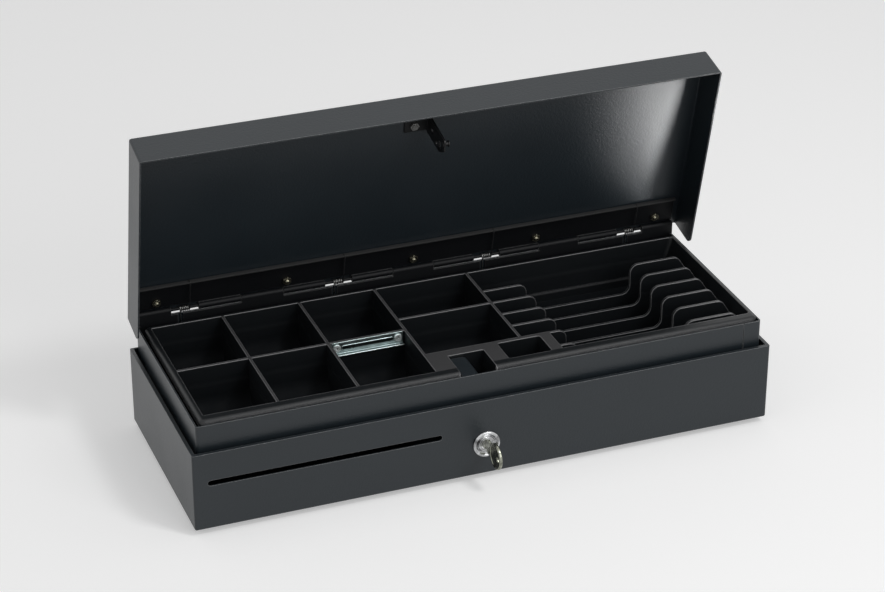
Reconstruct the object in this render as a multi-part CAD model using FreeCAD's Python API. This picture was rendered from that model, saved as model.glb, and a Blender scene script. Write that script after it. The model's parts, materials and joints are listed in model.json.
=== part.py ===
import FreeCAD, Part
import math
import os
from FreeCAD import Vector

# Flip-top cash drawer, drawn with its lid open. Millimetres. X runs along the front, Y towards
# the hinge, Z up. It is drawn with the origin under the middle of the case, on the ground, and
# at the end all pieces move along Y until the origin lies under the middle of their common box.

# Case
CASE_WIDTH = 460.0
CASE_DEPTH = 170.0
CASE_HEIGHT = 63.0
SHEET = 1.2
BEND_RADIUS = 1.6
CASE_LIP = 2.8
FOOT_HEIGHT = 5.0

# Collar that stands in the case and carries the hinge
COLLAR_SIDE_INSET = 5.6
COLLAR_FRONT_INSET = 6.5
COLLAR_REAR_INSET = 2.6
COLLAR_TOP = 87.5
COLLAR_FOOT = 58.0
COLLAR_HINGE_GAP = 0.2
COLLAR_CORNER_RADIUS = 2.4
COLLAR_SEAM_INSET = 14.9
COLLAR_SEAM_GAP = 0.5
LATCH_TAB_WIDTH = 14.5
LATCH_TAB_CLEARANCE = 1.0
LATCH_TAB_BEND = 5.0
LATCH_TAB_DROP = 8.0

# Media slot in the front wall
MEDIA_SLOT_INSET = 11.0
MEDIA_SLOT_LENGTH = 180.0
MEDIA_SLOT_HEIGHT = 4.4
MEDIA_SLOT_Z = 43.2

# Lid
LID_TOP = 100.0
LID_SKIRT = 30.0
LID_BEND_RADIUS = 2.2
LID_TIP_RADIUS = 6.0
OPEN_ANGLE = 77.0

# Hinge
HINGE_REAR_INSET = 2.5
HINGE_END_INSET = 6.0
HINGE_PIN_RADIUS = 1.25
HINGE_CLEARANCE = 0.05
LEAF_SHEET = 1.2
LID_LEAF_WIDTH = 25.5
LID_LEAF_LIP = 3.0
BASE_LEAF_BOTTOM = 70.0
LEAF_RELIEF = 0.5
LEAF_SIDE_CLEARANCE = 1.3
SPRING_END_DISTANCE = 38.0
SPRING_GAP = 22.0
SPRING_COUNT = 4
KNUCKLES_BETWEEN_SPRINGS = 3
KNUCKLE_END_GAP = 0.3
LEAF_FASTENER_END = 16.0
LEAF_FASTENER_COUNT = 5
LEAF_FASTENER_INSET = 9.0
LEAF_NUT_RADIUS = 3.6

# Hinge springs
SPRING_WIRE_RADIUS = 0.5
SPRING_TURNS = 5
SPRING_TURN_PITCH = 1.5
SPRING_LEG_LENGTH = 13.0
SPRING_PIN_CLEARANCE = 0.12
SPRING_NOTCH_WIDTH = 4.0

# Tray, with distances along Y measured from its front edge
TRAY_TOP = 90.0
TRAY_BOTTOM = 50.0
TRAY_LEFT_CLEARANCE = 3.0
TRAY_RIGHT_CLEARANCE = 0.6
TRAY_FRONT_CLEARANCE = 1.3
TRAY_REAR_CLEARANCE = 5.0
TRAY_RIM_OVERHANG = 2.4
TRAY_RIM_DROP = 6.0
TRAY_RIM_EDGE = 3.0
TRAY_RIM_LEFT = 4.6
TRAY_RIM_RIGHT = 3.2
TRAY_RIM_FRONT = 8.0
TRAY_RIM_REAR = 4.6
TRAY_FLOOR = 2.0
TRAY_DRAFT = 1.5
TRAY_CORNER_RADIUS = 4.0
DIVIDER = 2.2
COIN_FIRST_DIVIDER_X = -159.5
COIN_COLUMN = 61.5
COIN_DIVIDERS = 3
BILL_SECTION_X = 40.5
BILL_SECTION_RADIUS = 3.0
BILL_WALL_SLOPE = 12.0
BILL_END_SETBACK = 11.0
BILL_END_DROP = 12.0
COIN_CROSS = 77.0
COIN_CROSS_LAST = 94.0
COIN_FRONT_LAST = 34.5
COIN_SCOOP_RADIUS = 12.0
BILL_FIRST = 113.5
BILL_PITCH = 19.8
BILL_DIVIDERS = 5
BILL_SHORT = 13.0
BILL_SCOOP_LEFT = 78.0
BILL_SCOOP_RIGHT = 167.0
BILL_SCOOP_Z = 65.0
BILL_SCOOP_RADIUS = 7.0
NOTCH_LEFT = -21.0
NOTCH_RIGHT = 7.5
NOTCH_DEPTH = 27.0
POCKET_LEFT = 20.5
POCKET_RIGHT = 55.0
POCKET_START = 7.5
POCKET_END = 32.0
POCKET_DEPTH = 24.0
POCKET_RADIUS = 2.0
FRONT_BLOCK_RIGHT = 64.0
TRAY_RAIL_WIDTH = 24.0
TRAY_RAIL_DROP = 20.0
TRAY_RAIL_SETBACK = 12.0
SEAT_CLEARANCE = 0.1

# Metal clip on the tray's cross divider
CLIP_SHEET = 0.8
CLIP_HEIGHT = 9.5
CLIP_LIP = 4.0
CLIP_CORNER = 2.0
CLIP_END_CLEARANCE = 1.0
CLIP_EYELET_RADIUS = 3.1
CLIP_EYELET_SHANK = 1.5
CLIP_EYELET_HOLE = 0.9
CLIP_EYELET_TAIL = 2.3
CLIP_EYELET_INSET = 4.2
CLIP_EYELET_EDGE = 0.3
CLIP_RIB_HEIGHT = 3.0
CLIP_RIB_RISE = 0.4

# Striker that hangs from the lid, with distances along Y measured from the case's front
STRIKER_X = 1.6
STRIKER_SHEET = 1.4
STRIKER_FRONT = 19.5
STRIKER_REAR = 35.5
STRIKER_DROP = 37.0
STRIKER_FRONT_RADIUS = 2.5
STRIKER_CHAMFER = 6.0
STRIKER_CHAMFER_RISE = 9.0
STRIKER_CHAMFER_RADIUS = 2.0
STRIKER_FLANGE_LENGTH = 20.0
STRIKER_FLANGE_DEPTH = 11.0
STRIKER_SCREW = 12.4
STRIKER_PIN = 24.0
STRIKER_PIN_DROP = 34.0
STRIKER_PIN_RADIUS = 1.5
STRIKER_PIN_HEAD = 2.4
STRIKER_PIN_HEAD_HEIGHT = 0.7
STRIKER_PIN_REACH = 3.4
STRIKER_UPPER_HOLE_RADIUS = 2.0
STRIKER_UPPER_HOLE_DROP = 12.0
STRIKER_LOWER_HOLE_RADIUS = 1.8
STRIKER_LOWER_HOLE_DROP = 22.0
STRIKER_LOWER_HOLE_EDGE = 4.0
STRIKER_WINDOW_WIDTH = 6.0
STRIKER_WINDOW_SHIFT = 2.0
STRIKER_WINDOW_TOP = 26.5
STRIKER_WINDOW_BOTTOM = 31.0

# Latch lever
LEVER_THICKNESS = 1.8
LEVER_GAP = 0.6
LEVER_PIVOT = 33.0
LEVER_PIVOT_Z = 40.0
LEVER_PIVOT_RADIUS = 2.0
LEVER_BOSS_RADIUS = 5.0
LEVER_SWING = 8.0
LEVER_REACH = 21.0
LEVER_HOOK_CLEARANCE = 0.5
LEVER_HOOK_WIDTH = 4.0
LEVER_NOSE_HEIGHT = 3.5
LEVER_NOSE_RADIUS = 2.0
LEVER_TIP_RADIUS = 0.8
LEVER_THROAT_RADIUS = 0.5
LEVER_SHOULDER = 8.0
LEVER_SHOULDER_RADIUS = 3.0
LEVER_ROOT = 3.0
LEVER_ARM_ROOT = 3.5
LEVER_ARM_TIP = 3.0
LEVER_ARM_PAST = 3.6
LEVER_ARM_RADIUS = 2.5
LEVER_SLOT_PLAY = 1.0
LEVER_LUG_WIDTH = 4.0
LEVER_LUG_DEPTH = 4.0
LEVER_LUG_OVERLAP = 0.5
LEVER_LUG_CLEARANCE = 1.2
LEVER_WEB = 1.0

# Latch bracket and its pin
BRACKET_SHEET = 1.5
BRACKET_SIDE_GAP = 1.2
BRACKET_TOP = 46.0
BRACKET_FOOT = 12.0
BRACKET_AHEAD = 6.0
BRACKET_BEHIND = 8.0
BRACKET_SCREW_BEHIND = 2.0
BRACKET_BACK_HEIGHT = 24.0
BRACKET_CORNER = 4.0
BRACKET_REAR_CORNER = 3.0
PIVOT_HEAD_STEP = 1.0
PIVOT_HEAD_HEIGHT = 1.0

# Release solenoid
SOLENOID_WIDTH = 22.0
SOLENOID_DEPTH = 20.0
SOLENOID_HEIGHT = 22.0
SOLENOID_EAR = 8.0
SOLENOID_EAR_DEPTH = 12.0
PLUNGER_RADIUS = 3.5
PLUNGER_CLEARANCE = 0.1
COIL_RADIUS = 8.6
COIL_CHEEK = 1.2
COIL_CHEEK_STEP = 1.0
CORE_HEIGHT = 5.0
CORE_GAP = 1.0
LINK_PIN_RADIUS = 1.2
CLEVIS_RADIUS = 5.4
CLEVIS_BELOW = 4.0
CLEVIS_ABOVE = 3.6
CLEVIS_FLOOR = 0.8
CLEVIS_PLAY = 0.4
RETURN_SPRING_WIRE = 0.4
RETURN_SPRING_TURNS = 3
RETURN_SPRING_RADIUS = 4.4
RETURN_SPRING_SEAT = 0.05

# Lock
LOCK_X = -4.0
LOCK_Z = 31.0
LOCK_FLANGE_RADIUS = 10.8
LOCK_FLANGE_THICKNESS = 2.2
LOCK_FLANGE_EDGE = 1.4
LOCK_DISH_RADIUS = 8.8
LOCK_DISH_FLOOR_RADIUS = 7.4
LOCK_DISH_DEPTH = 1.2
LOCK_BODY_RADIUS = 9.2
LOCK_FLATS = 16.2
LOCK_BODY_LENGTH = 21.0
LOCK_PLUG_RADIUS = 6.5
LOCK_PLUG_EDGE = 0.6
LOCK_PLUG_SETBACK = 0.4
LOCK_PLUG_PAST = 2.0
LOCK_NUT_RADIUS = 12.4
LOCK_NUT_THICKNESS = 4.0
CAM_THICKNESS = 2.0
CAM_WIDTH = 11.0
CAM_REACH = 17.0
CAM_ROUND = 4.5
CAM_TAPER = 2.0
CAM_TIP_RADIUS = 2.5
CAM_SQUARE = 5.0
CAM_SCREW_RADIUS = 1.25
CAM_SCREW_DEPTH = 1.8
CAM_SCREW_HEAD_RADIUS = 3.4
CAM_SCREW_HEAD_HEIGHT = 1.6

# Key
KEY_THICKNESS = 2.0
KEY_BOW_RADIUS = 10.3
KEY_BOW_EDGE = 0.5
KEY_BOW_DISTANCE = 17.5
KEY_BOW_DROP = 0.2
KEY_NECK_HEIGHT = 10.4
KEY_NECK_GAP = 1.0
KEY_NECK_RADIUS = 1.0
KEY_BLADE_HEIGHT = 7.0
KEY_BLADE_LENGTH = 20.0
KEY_BLADE_TIP = 3.0
KEY_SLOT_CLEARANCE = 0.15
KEY_HOLE_RADIUS = 2.2
KEY_HOLE_EDGE = 4.6
KEY_CUT_FIRST = 4.0
KEY_CUT_PITCH = 3.4
KEY_CUT_FLARE = 0.4
KEY_CUT_1 = 1.4
KEY_CUT_2 = 2.2
KEY_CUT_3 = 1.0
KEY_CUT_4 = 1.8

# Feet and small fasteners
FOOT_RADIUS = 9.0
FOOT_TAPER = 1.2
FOOT_INSET = 24.0
FOOT_SEAT = 1.6
FOOT_RECESS_CLEARANCE = 0.6
FOOT_SCREW_PAST = 3.0
SCREW_RADIUS = 2.0
SCREW_HEAD_RADIUS = 3.6
SCREW_HEAD_HEIGHT = 2.0
HOLE_CLEARANCE = 0.1
PRESS_CLEARANCE = 0.02
RIVET_RADIUS = 1.6
RIVET_HEAD_RADIUS = 3.0
RIVET_HEAD_HEIGHT = 1.1

# Socket for the release cable, in the rear wall
SOCKET_INSET = 80.0
SOCKET_Z = 30.0
SOCKET_WIDTH = 15.0
SOCKET_HEIGHT = 14.0
SOCKET_DEPTH = 16.0
SOCKET_CAVITY_WIDTH = 9.8
SOCKET_CAVITY_HEIGHT = 6.8
SOCKET_CAVITY_DEPTH = 13.0
SOCKET_KEY_WIDTH = 3.6
SOCKET_KEY_RISE = 2.0
SOCKET_EAR = 7.0
SOCKET_EAR_THICKNESS = 2.0
SOCKET_EAR_HEIGHT = 8.0
SOCKET_SCREW_RADIUS = 1.0
SOCKET_SCREW_HEAD_RADIUS = 2.0
SOCKET_SCREW_HEAD_HEIGHT = 1.2

# How far a cutting tool runs past what it cuts, how near a point counts as on a face, and
# how many points draw each turn of a coil
PAST = 1.0
NEAR = 1e-6
STEPS_PER_TURN = 8

# Places worked out from the sizes above
CASE_LEFT = -CASE_WIDTH / 2
CASE_RIGHT = CASE_WIDTH / 2
CASE_FRONT = -CASE_DEPTH / 2
CASE_REAR = CASE_DEPTH / 2
CASE_TOP = FOOT_HEIGHT + CASE_HEIGHT
FLOOR_TOP = FOOT_HEIGHT + SHEET
COLLAR_RIGHT = CASE_RIGHT - COLLAR_SIDE_INSET
COLLAR_FRONT = CASE_FRONT + COLLAR_FRONT_INSET
COLLAR_REAR = CASE_REAR - COLLAR_REAR_INSET
COLLAR_SEAM_X = COLLAR_RIGHT - COLLAR_SEAM_INSET
MEDIA_SLOT_LEFT = CASE_LEFT + MEDIA_SLOT_INSET
KNUCKLE_RADIUS = HINGE_PIN_RADIUS + HINGE_CLEARANCE + LEAF_SHEET
LID_INNER = LID_TOP - SHEET
HINGE_LENGTH = CASE_WIDTH - 2 * HINGE_END_INSET
HINGE_Y = CASE_REAR - HINGE_REAR_INSET
HINGE_Z = LID_INNER - KNUCKLE_RADIUS
COLLAR_REAR_TOP = HINGE_Z - KNUCKLE_RADIUS - COLLAR_HINGE_GAP
BASE_LEAF_FRONT = COLLAR_REAR - SHEET - LEAF_SHEET
TRAY_LEFT = -COLLAR_RIGHT + SHEET + TRAY_LEFT_CLEARANCE
TRAY_RIGHT = COLLAR_RIGHT - SHEET - TRAY_RIGHT_CLEARANCE
TRAY_FRONT = COLLAR_FRONT + SHEET + TRAY_FRONT_CLEARANCE
TRAY_REAR = BASE_LEAF_FRONT - TRAY_REAR_CLEARANCE
NOTCH_REAR = TRAY_FRONT + NOTCH_DEPTH
COIN_CROSS_Y = TRAY_FRONT + COIN_CROSS
COIN_CROSS_Y_LAST = TRAY_FRONT + COIN_CROSS_LAST
COIN_FRONT_Y_LAST = TRAY_FRONT + COIN_FRONT_LAST
CLIP_EYELET_Z = TRAY_TOP - CLIP_HEIGHT / 2
STRIKER_RIGHT = STRIKER_X + STRIKER_SHEET
STRIKER_FRONT_Y = CASE_FRONT + STRIKER_FRONT
STRIKER_REAR_Y = CASE_FRONT + STRIKER_REAR
STRIKER_MIDDLE_Y = (STRIKER_FRONT_Y + STRIKER_REAR_Y) / 2
STRIKER_SCREW_X = STRIKER_RIGHT - STRIKER_SCREW
STRIKER_PIN_Y = CASE_FRONT + STRIKER_PIN
STRIKER_PIN_Z = LID_TOP - STRIKER_PIN_DROP
LEVER_PIVOT_Y = CASE_FRONT + LEVER_PIVOT
LEVER_X = STRIKER_RIGHT + LEVER_GAP
LEVER_RIGHT = LEVER_X + LEVER_THICKNESS
LEVER_MIDDLE_X = LEVER_X + LEVER_THICKNESS / 2
PLUNGER_Y = LEVER_PIVOT_Y + LEVER_REACH
PLUNGER_TRAVEL = LEVER_REACH * math.sin(math.radians(LEVER_SWING))
LINK_PIN_Z = LEVER_PIVOT_Z - PLUNGER_TRAVEL
SOLENOID_TOP = FLOOR_TOP + SOLENOID_HEIGHT
SOLENOID_FLOOR = FLOOR_TOP + BRACKET_SHEET
LOCK_FACE = CASE_FRONT - LOCK_FLANGE_THICKNESS
CAM_FRONT = CASE_FRONT + LOCK_BODY_LENGTH + LOCK_PLUG_PAST
SOCKET_X = CASE_RIGHT - SOCKET_INSET
X_AXIS = Vector(1, 0, 0)
Y_AXIS = Vector(0, 1, 0)
Z_AXIS = Vector(0, 0, 1)


def box(x0, x1, y0, y1, z0, z1):
    return Part.makeBox(x1 - x0, y1 - y0, z1 - z0, Vector(x0, y0, z0))


def rod_x(x0, x1, y, z, radius):
    return Part.makeCylinder(radius, x1 - x0, Vector(x0, y, z), X_AXIS)


def rod_y(y0, y1, x, z, radius):
    return Part.makeCylinder(radius, y1 - y0, Vector(x, y0, z), Y_AXIS)


def rod_z(z0, z1, x, y, radius):
    return Part.makeCylinder(radius, z1 - z0, Vector(x, y, z0), Z_AXIS)


def join(shapes):
    return shapes[0].multiFuse(shapes[1:]).removeSplitter()


def cut(shape, tools):
    return shape.cut(tools).removeSplitter()


def edges_along(shape, axis, keep):
    """Straight edges parallel to axis whose middle point passes the keep test."""
    found = []
    for edge in shape.Edges:
        ends = [vertex.Point for vertex in edge.Vertexes]
        if len(ends) != 2 or not isinstance(edge.Curve, Part.Line):
            continue
        run = ends[1].sub(ends[0])
        if run.cross(axis).Length < NEAR * run.Length and keep((ends[0] + ends[1]) * 0.5):
            found.append(edge)
    return found


def upright_box(x0, x1, y0, y1, z0, z1, radius):
    """Box whose four upright edges are rounded."""
    body = box(x0, x1, y0, y1, z0, z1)
    return body.makeFillet(radius, edges_along(body, Z_AXIS, lambda point: True))


def rounded_wire(corners):
    """Closed wire through corners of (point, radius), rounded with arcs where the radius isn't zero."""
    count = len(corners)
    starts = []
    ends = []
    middles = []
    for index in range(count):
        point, radius = corners[index]
        before = (corners[index - 1][0] - point).normalize()
        after = (corners[(index + 1) % count][0] - point).normalize()
        if radius == 0:
            starts.append(point)
            ends.append(point)
            middles.append(None)
            continue
        half = before.getAngle(after) / 2
        setback = radius / math.tan(half)
        inward = (before + after).normalize()
        centre = point + inward * (radius / math.sin(half))
        starts.append(point + before * setback)
        ends.append(point + after * setback)
        middles.append(centre - inward * radius)
    edges = []
    for index in range(count):
        if middles[index] is not None:
            edges.append(Part.Arc(starts[index], middles[index], ends[index]).toShape())
        following = (index + 1) % count
        if (starts[following] - ends[index]).Length > NEAR:
            edges.append(Part.makeLine(ends[index], starts[following]))
    return Part.Wire(edges)


def side_plate(x0, x1, outline):
    """Plate across X cut to an outline of (y, z, corner radius)."""
    wire = rounded_wire([(Vector(x0, y, z), radius) for y, z, radius in outline])
    return Part.Face(wire).extrude(Vector(x1 - x0, 0, 0))


def front_plate(y0, y1, outline):
    """Plate across Y cut to an outline of (x, z, corner radius)."""
    wire = rounded_wire([(Vector(x, y0, z), radius) for x, z, radius in outline])
    return Part.Face(wire).extrude(Vector(0, y1 - y0, 0))


def slot_tool(x0, x1, y0, y1, z, height):
    """Round-ended slot along X, cut through along Y."""
    radius = height / 2
    middle = box(x0 + radius, x1 - radius, y0, y1, z - radius, z + radius)
    left = rod_y(y0, y1, x0 + radius, z, radius)
    right = rod_y(y0, y1, x1 - radius, z, radius)
    return join([middle, left, right])


def opened(shape):
    """Turn a lid piece from its closed place to the open one."""
    turned = shape.copy()
    turned.rotate(Vector(0, HINGE_Y, HINGE_Z), X_AXIS, -OPEN_ANGLE)
    return turned


def released(shape):
    """Turn the latch lever from its hooked place to the released one."""
    turned = shape.copy()
    turned.rotate(Vector(0, LEVER_PIVOT_Y, LEVER_PIVOT_Z), X_AXIS, -LEVER_SWING)
    return turned


def hexagon(radius, height, base, axis):
    """Hexagon bar of the given corner radius, standing on base along axis."""
    side = Vector(0, 0, 1) if abs(axis.z) < 0.5 else Vector(1, 0, 0)
    points = []
    for step in range(6):
        turn = FreeCAD.Rotation(axis, 60.0 * step)
        points.append(base + turn.multVec(side * radius))
    return Part.Face(Part.makePolygon(points + points[:1])).extrude(axis * height)


def leaf_fastener_places():
    reach = HINGE_LENGTH / 2 - LEAF_FASTENER_END
    pitch = 2 * reach / (LEAF_FASTENER_COUNT - 1)
    return [-reach + pitch * index for index in range(LEAF_FASTENER_COUNT)]


def spring_places():
    reach = HINGE_LENGTH / 2 - SPRING_END_DISTANCE
    pitch = 2 * reach / (SPRING_COUNT - 1)
    return [-reach + pitch * index for index in range(SPRING_COUNT)]


def knuckle_spans():
    """Spans of the base knuckles and of the lid knuckles, in order along the hinge."""
    centres = spring_places()
    half_gap = SPRING_GAP / 2
    half_length = HINGE_LENGTH / 2
    base = [(-half_length, centres[0] - half_gap), (centres[-1] + half_gap, half_length)]
    lid = []
    width = (centres[1] - centres[0] - SPRING_GAP) / KNUCKLES_BETWEEN_SPRINGS
    for centre in centres[:-1]:
        for index in range(KNUCKLES_BETWEEN_SPRINGS):
            start = centre + half_gap + width * index
            span = (start + KNUCKLE_END_GAP / 2, start + width - KNUCKLE_END_GAP / 2)
            if index % 2:
                base.append(span)
            else:
                lid.append(span)
    return base, lid


def rivet_height():
    return (BASE_LEAF_BOTTOM + COLLAR_TOP) / 2


def foot_places():
    x = CASE_RIGHT - FOOT_INSET
    y = CASE_REAR - FOOT_INSET
    return [(-x, -y), (x, -y), (x, y), (-x, y)]


def bracket_faces():
    """Left and right inner faces of the latch bracket's cheeks."""
    return LEVER_X - BRACKET_SIDE_GAP, LEVER_RIGHT + BRACKET_SIDE_GAP


def bracket_screw_places():
    left, right = bracket_faces()
    reach = BRACKET_SHEET + BRACKET_FOOT / 2
    y = LEVER_PIVOT_Y + BRACKET_SCREW_BEHIND
    return [(left - reach, y), (right + reach, y)]


def solenoid_screw_places():
    reach = SOLENOID_WIDTH / 2 + SOLENOID_EAR / 2
    return [(LEVER_MIDDLE_X - reach, PLUNGER_Y), (LEVER_MIDDLE_X + reach, PLUNGER_Y)]


def socket_screw_places():
    reach = (SOCKET_WIDTH + SOCKET_EAR) / 2
    return [SOCKET_X - reach, SOCKET_X + reach]


def lock_section(clearance):
    """Barrel section of the lock with two flats, as a long bar along Y."""
    radius = LOCK_BODY_RADIUS + clearance
    flat = LOCK_FLATS / 2 + clearance
    barrel = rod_y(CASE_FRONT, CASE_FRONT + LOCK_BODY_LENGTH, LOCK_X, LOCK_Z, radius)
    block = box(LOCK_X - flat, LOCK_X + flat, CASE_FRONT, CASE_FRONT + LOCK_BODY_LENGTH,
                LOCK_Z - radius, LOCK_Z + radius)
    return barrel.common(block)


def make_case_shell():
    outer = upright_box(CASE_LEFT, CASE_RIGHT, CASE_FRONT, CASE_REAR, FOOT_HEIGHT, CASE_TOP, BEND_RADIUS)
    lower = [edge for edge in outer.Edges if edge.BoundBox.ZMax < FOOT_HEIGHT + NEAR]
    outer = outer.makeFillet(BEND_RADIUS * 0.99, lower)
    hollow = upright_box(CASE_LEFT + SHEET, CASE_RIGHT - SHEET, CASE_FRONT + SHEET, CASE_REAR - SHEET,
                         FLOOR_TOP, CASE_TOP - SHEET, BEND_RADIUS - SHEET)
    mouth = box(CASE_LEFT + CASE_LIP, CASE_RIGHT - CASE_LIP, CASE_FRONT + CASE_LIP,
                CASE_REAR - SHEET, FLOOR_TOP, CASE_TOP + PAST)
    media = slot_tool(MEDIA_SLOT_LEFT, MEDIA_SLOT_LEFT + MEDIA_SLOT_LENGTH, CASE_FRONT - PAST,
                      CASE_FRONT + SHEET + PAST, MEDIA_SLOT_Z, MEDIA_SLOT_HEIGHT)
    half_width = SOCKET_WIDTH / 2 + HOLE_CLEARANCE
    half_height = SOCKET_HEIGHT / 2 + HOLE_CLEARANCE
    window = box(SOCKET_X - half_width, SOCKET_X + half_width, CASE_REAR - SHEET - PAST, CASE_REAR + PAST,
                 SOCKET_Z - half_height, SOCKET_Z + half_height)
    holes = []
    for x, y in foot_places() + bracket_screw_places() + solenoid_screw_places():
        holes.append(rod_z(FOOT_HEIGHT - PAST, FLOOR_TOP + PAST, x, y, SCREW_RADIUS + HOLE_CLEARANCE))
    for x in socket_screw_places():
        holes.append(rod_y(CASE_REAR - SHEET - PAST, CASE_REAR + PAST, x, SOCKET_Z,
                           SOCKET_SCREW_RADIUS + HOLE_CLEARANCE))
    return cut(outer, [hollow, mouth, media, window, lock_section(HOLE_CLEARANCE)] + holes)


def latch_tab():
    """Sheet tab over the latch, with its right edge bent down."""
    left = NOTCH_LEFT + LATCH_TAB_CLEARANCE
    right = left + LATCH_TAB_WIDTH
    low = COLLAR_TOP - LATCH_TAB_DROP
    return front_plate(COLLAR_FRONT + SHEET / 2, NOTCH_REAR - LATCH_TAB_CLEARANCE, [
        (left, COLLAR_TOP, 0), (right, COLLAR_TOP, LATCH_TAB_BEND), (right, low, 0), (right - SHEET, low, 0),
        (right - SHEET, COLLAR_TOP - SHEET, LATCH_TAB_BEND - SHEET), (left, COLLAR_TOP - SHEET, 0)])


def make_collar_frame():
    walls = upright_box(-COLLAR_RIGHT, COLLAR_RIGHT, COLLAR_FRONT, COLLAR_REAR, COLLAR_FOOT,
                        COLLAR_TOP, COLLAR_CORNER_RADIUS)
    flange = upright_box(CASE_LEFT + SHEET, CASE_RIGHT - SHEET, CASE_FRONT + SHEET, CASE_REAR - SHEET,
                         COLLAR_FOOT, COLLAR_FOOT + SHEET, BEND_RADIUS)
    straight = COLLAR_RIGHT - COLLAR_CORNER_RADIUS
    rear = box(-straight, straight, COLLAR_REAR - SHEET, COLLAR_REAR, COLLAR_TOP - SHEET, COLLAR_REAR_TOP)
    hollow = upright_box(-COLLAR_RIGHT + SHEET, COLLAR_RIGHT - SHEET, COLLAR_FRONT + SHEET,
                         COLLAR_REAR - SHEET, COLLAR_FOOT - PAST, COLLAR_REAR_TOP + PAST,
                         COLLAR_CORNER_RADIUS - SHEET)
    seam = box(COLLAR_SEAM_X, COLLAR_SEAM_X + COLLAR_SEAM_GAP, COLLAR_FRONT - PAST,
               COLLAR_FRONT + SHEET + PAST, COLLAR_FOOT + SHEET, COLLAR_TOP + PAST)
    holes = [rod_y(COLLAR_REAR - SHEET - PAST, COLLAR_REAR + PAST, x, rivet_height(),
                   RIVET_RADIUS + HOLE_CLEARANCE) for x in leaf_fastener_places()]
    frame = cut(join([walls, flange, rear]), [hollow, seam] + holes)
    return join([frame, latch_tab()])


def make_tray_rail(side):
    """Angle that carries one end of the tray, side -1 on the left and 1 on the right."""
    wall = side * (CASE_RIGHT - SHEET)
    inner = side * (CASE_RIGHT - SHEET - TRAY_RAIL_WIDTH)
    top = TRAY_BOTTOM - SEAT_CLEARANCE
    front = CASE_FRONT + SHEET + TRAY_RAIL_SETBACK
    rear = CASE_REAR - SHEET - TRAY_RAIL_SETBACK
    ledge = box(min(wall, inner), max(wall, inner), front, rear, top - SHEET, top)
    upright = box(min(wall, wall - side * SHEET), max(wall, wall - side * SHEET), front, rear,
                  top - TRAY_RAIL_DROP, top)
    rail = join([ledge, upright])
    bend = edges_along(rail, Y_AXIS, lambda point: abs(point.x - wall) < NEAR and point.z > top - NEAR)
    return rail.makeFillet(SHEET, bend)


def pin_bore(start, end):
    return rod_x(start, end, HINGE_Y, HINGE_Z, HINGE_PIN_RADIUS + HINGE_CLEARANCE)


def knuckle(span):
    return rod_x(span[0], span[1], HINGE_Y, HINGE_Z, KNUCKLE_RADIUS).cut(pin_bore(span[0], span[1]))


def make_base_hinge_leaf():
    base, lid = knuckle_spans()
    half = HINGE_LENGTH / 2
    rear = BASE_LEAF_FRONT + LEAF_SHEET
    top = HINGE_Z - KNUCKLE_RADIUS - LEAF_RELIEF
    inside = COLLAR_RIGHT - SHEET - LEAF_SIDE_CLEARANCE
    pieces = [box(-inside, inside, BASE_LEAF_FRONT, rear, BASE_LEAF_BOTTOM, top),
              box(-half, half, BASE_LEAF_FRONT, rear, COLLAR_TOP + LEAF_RELIEF, top)]
    for span in base:
        pieces.append(knuckle(span))
        web = box(span[0], span[1], BASE_LEAF_FRONT, rear, top - SHEET, HINGE_Z)
        pieces.append(web.cut(pin_bore(-half, half)))
    cuts = []
    for x in leaf_fastener_places():
        cuts.append(rod_y(BASE_LEAF_FRONT - PAST, rear + PAST, x, rivet_height(), RIVET_RADIUS + HOLE_CLEARANCE))
    half_notch = SPRING_NOTCH_WIDTH / 2
    for x in spring_places():
        leg = spring_start(x)
        cuts.append(box(leg - half_notch, leg + half_notch, BASE_LEAF_FRONT - PAST, rear + PAST,
                        HINGE_Z - SPRING_LEG_LENGTH - SHEET, HINGE_Z))
    return cut(join(pieces), cuts)


def spring_start(x):
    """Left end of the spring's coil, where its lower leg leaves it."""
    return x - SPRING_TURNS * SPRING_TURN_PITCH / 2


def make_lid_hinge_leaf():
    base, lid = knuckle_spans()
    half = HINGE_LENGTH / 2
    front = HINGE_Y - LID_LEAF_WIDTH
    relief = HINGE_Y - KNUCKLE_RADIUS - LEAF_RELIEF
    under = LID_INNER - LEAF_SHEET
    pieces = [box(-half, half, front, relief, under, LID_INNER)]
    pieces.append(box(-half, half, front, front + LEAF_SHEET, under - LID_LEAF_LIP, LID_INNER))
    for span in lid:
        pieces.append(knuckle(span))
        web = box(span[0], span[1], relief - SHEET, HINGE_Y, under, LID_INNER)
        pieces.append(web.cut(pin_bore(-half, half)))
    holes = []
    for x in leaf_fastener_places():
        holes.append(rod_z(under - PAST, LID_INNER + PAST, x, HINGE_Y - LEAF_FASTENER_INSET,
                           RIVET_RADIUS + HOLE_CLEARANCE))
    leaf = cut(join(pieces), holes)
    bend = edges_along(leaf, X_AXIS, lambda point: abs(point.y - front) < NEAR and point.z > LID_INNER - NEAR)
    return opened(leaf.makeFillet(LEAF_SHEET, bend))


def nut_on_stud(x, y, under, corner_radius, stud_radius):
    """Nut hanging under a plate at that height, on a stud that comes down from the lid."""
    nut = hexagon(corner_radius, SCREW_HEAD_HEIGHT, Vector(x, y, under), -Z_AXIS)
    stud = rod_z(under - SCREW_HEAD_HEIGHT - SHEET, LID_INNER, x, y, stud_radius)
    return opened(join([nut, stud]))


def make_lid_leaf_nuts():
    """Nuts that hold the hinge leaf to the lid."""
    y = HINGE_Y - LEAF_FASTENER_INSET
    under = LID_INNER - LEAF_SHEET
    return Part.makeCompound([nut_on_stud(x, y, under, LEAF_NUT_RADIUS, RIVET_RADIUS)
                              for x in leaf_fastener_places()])


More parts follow.
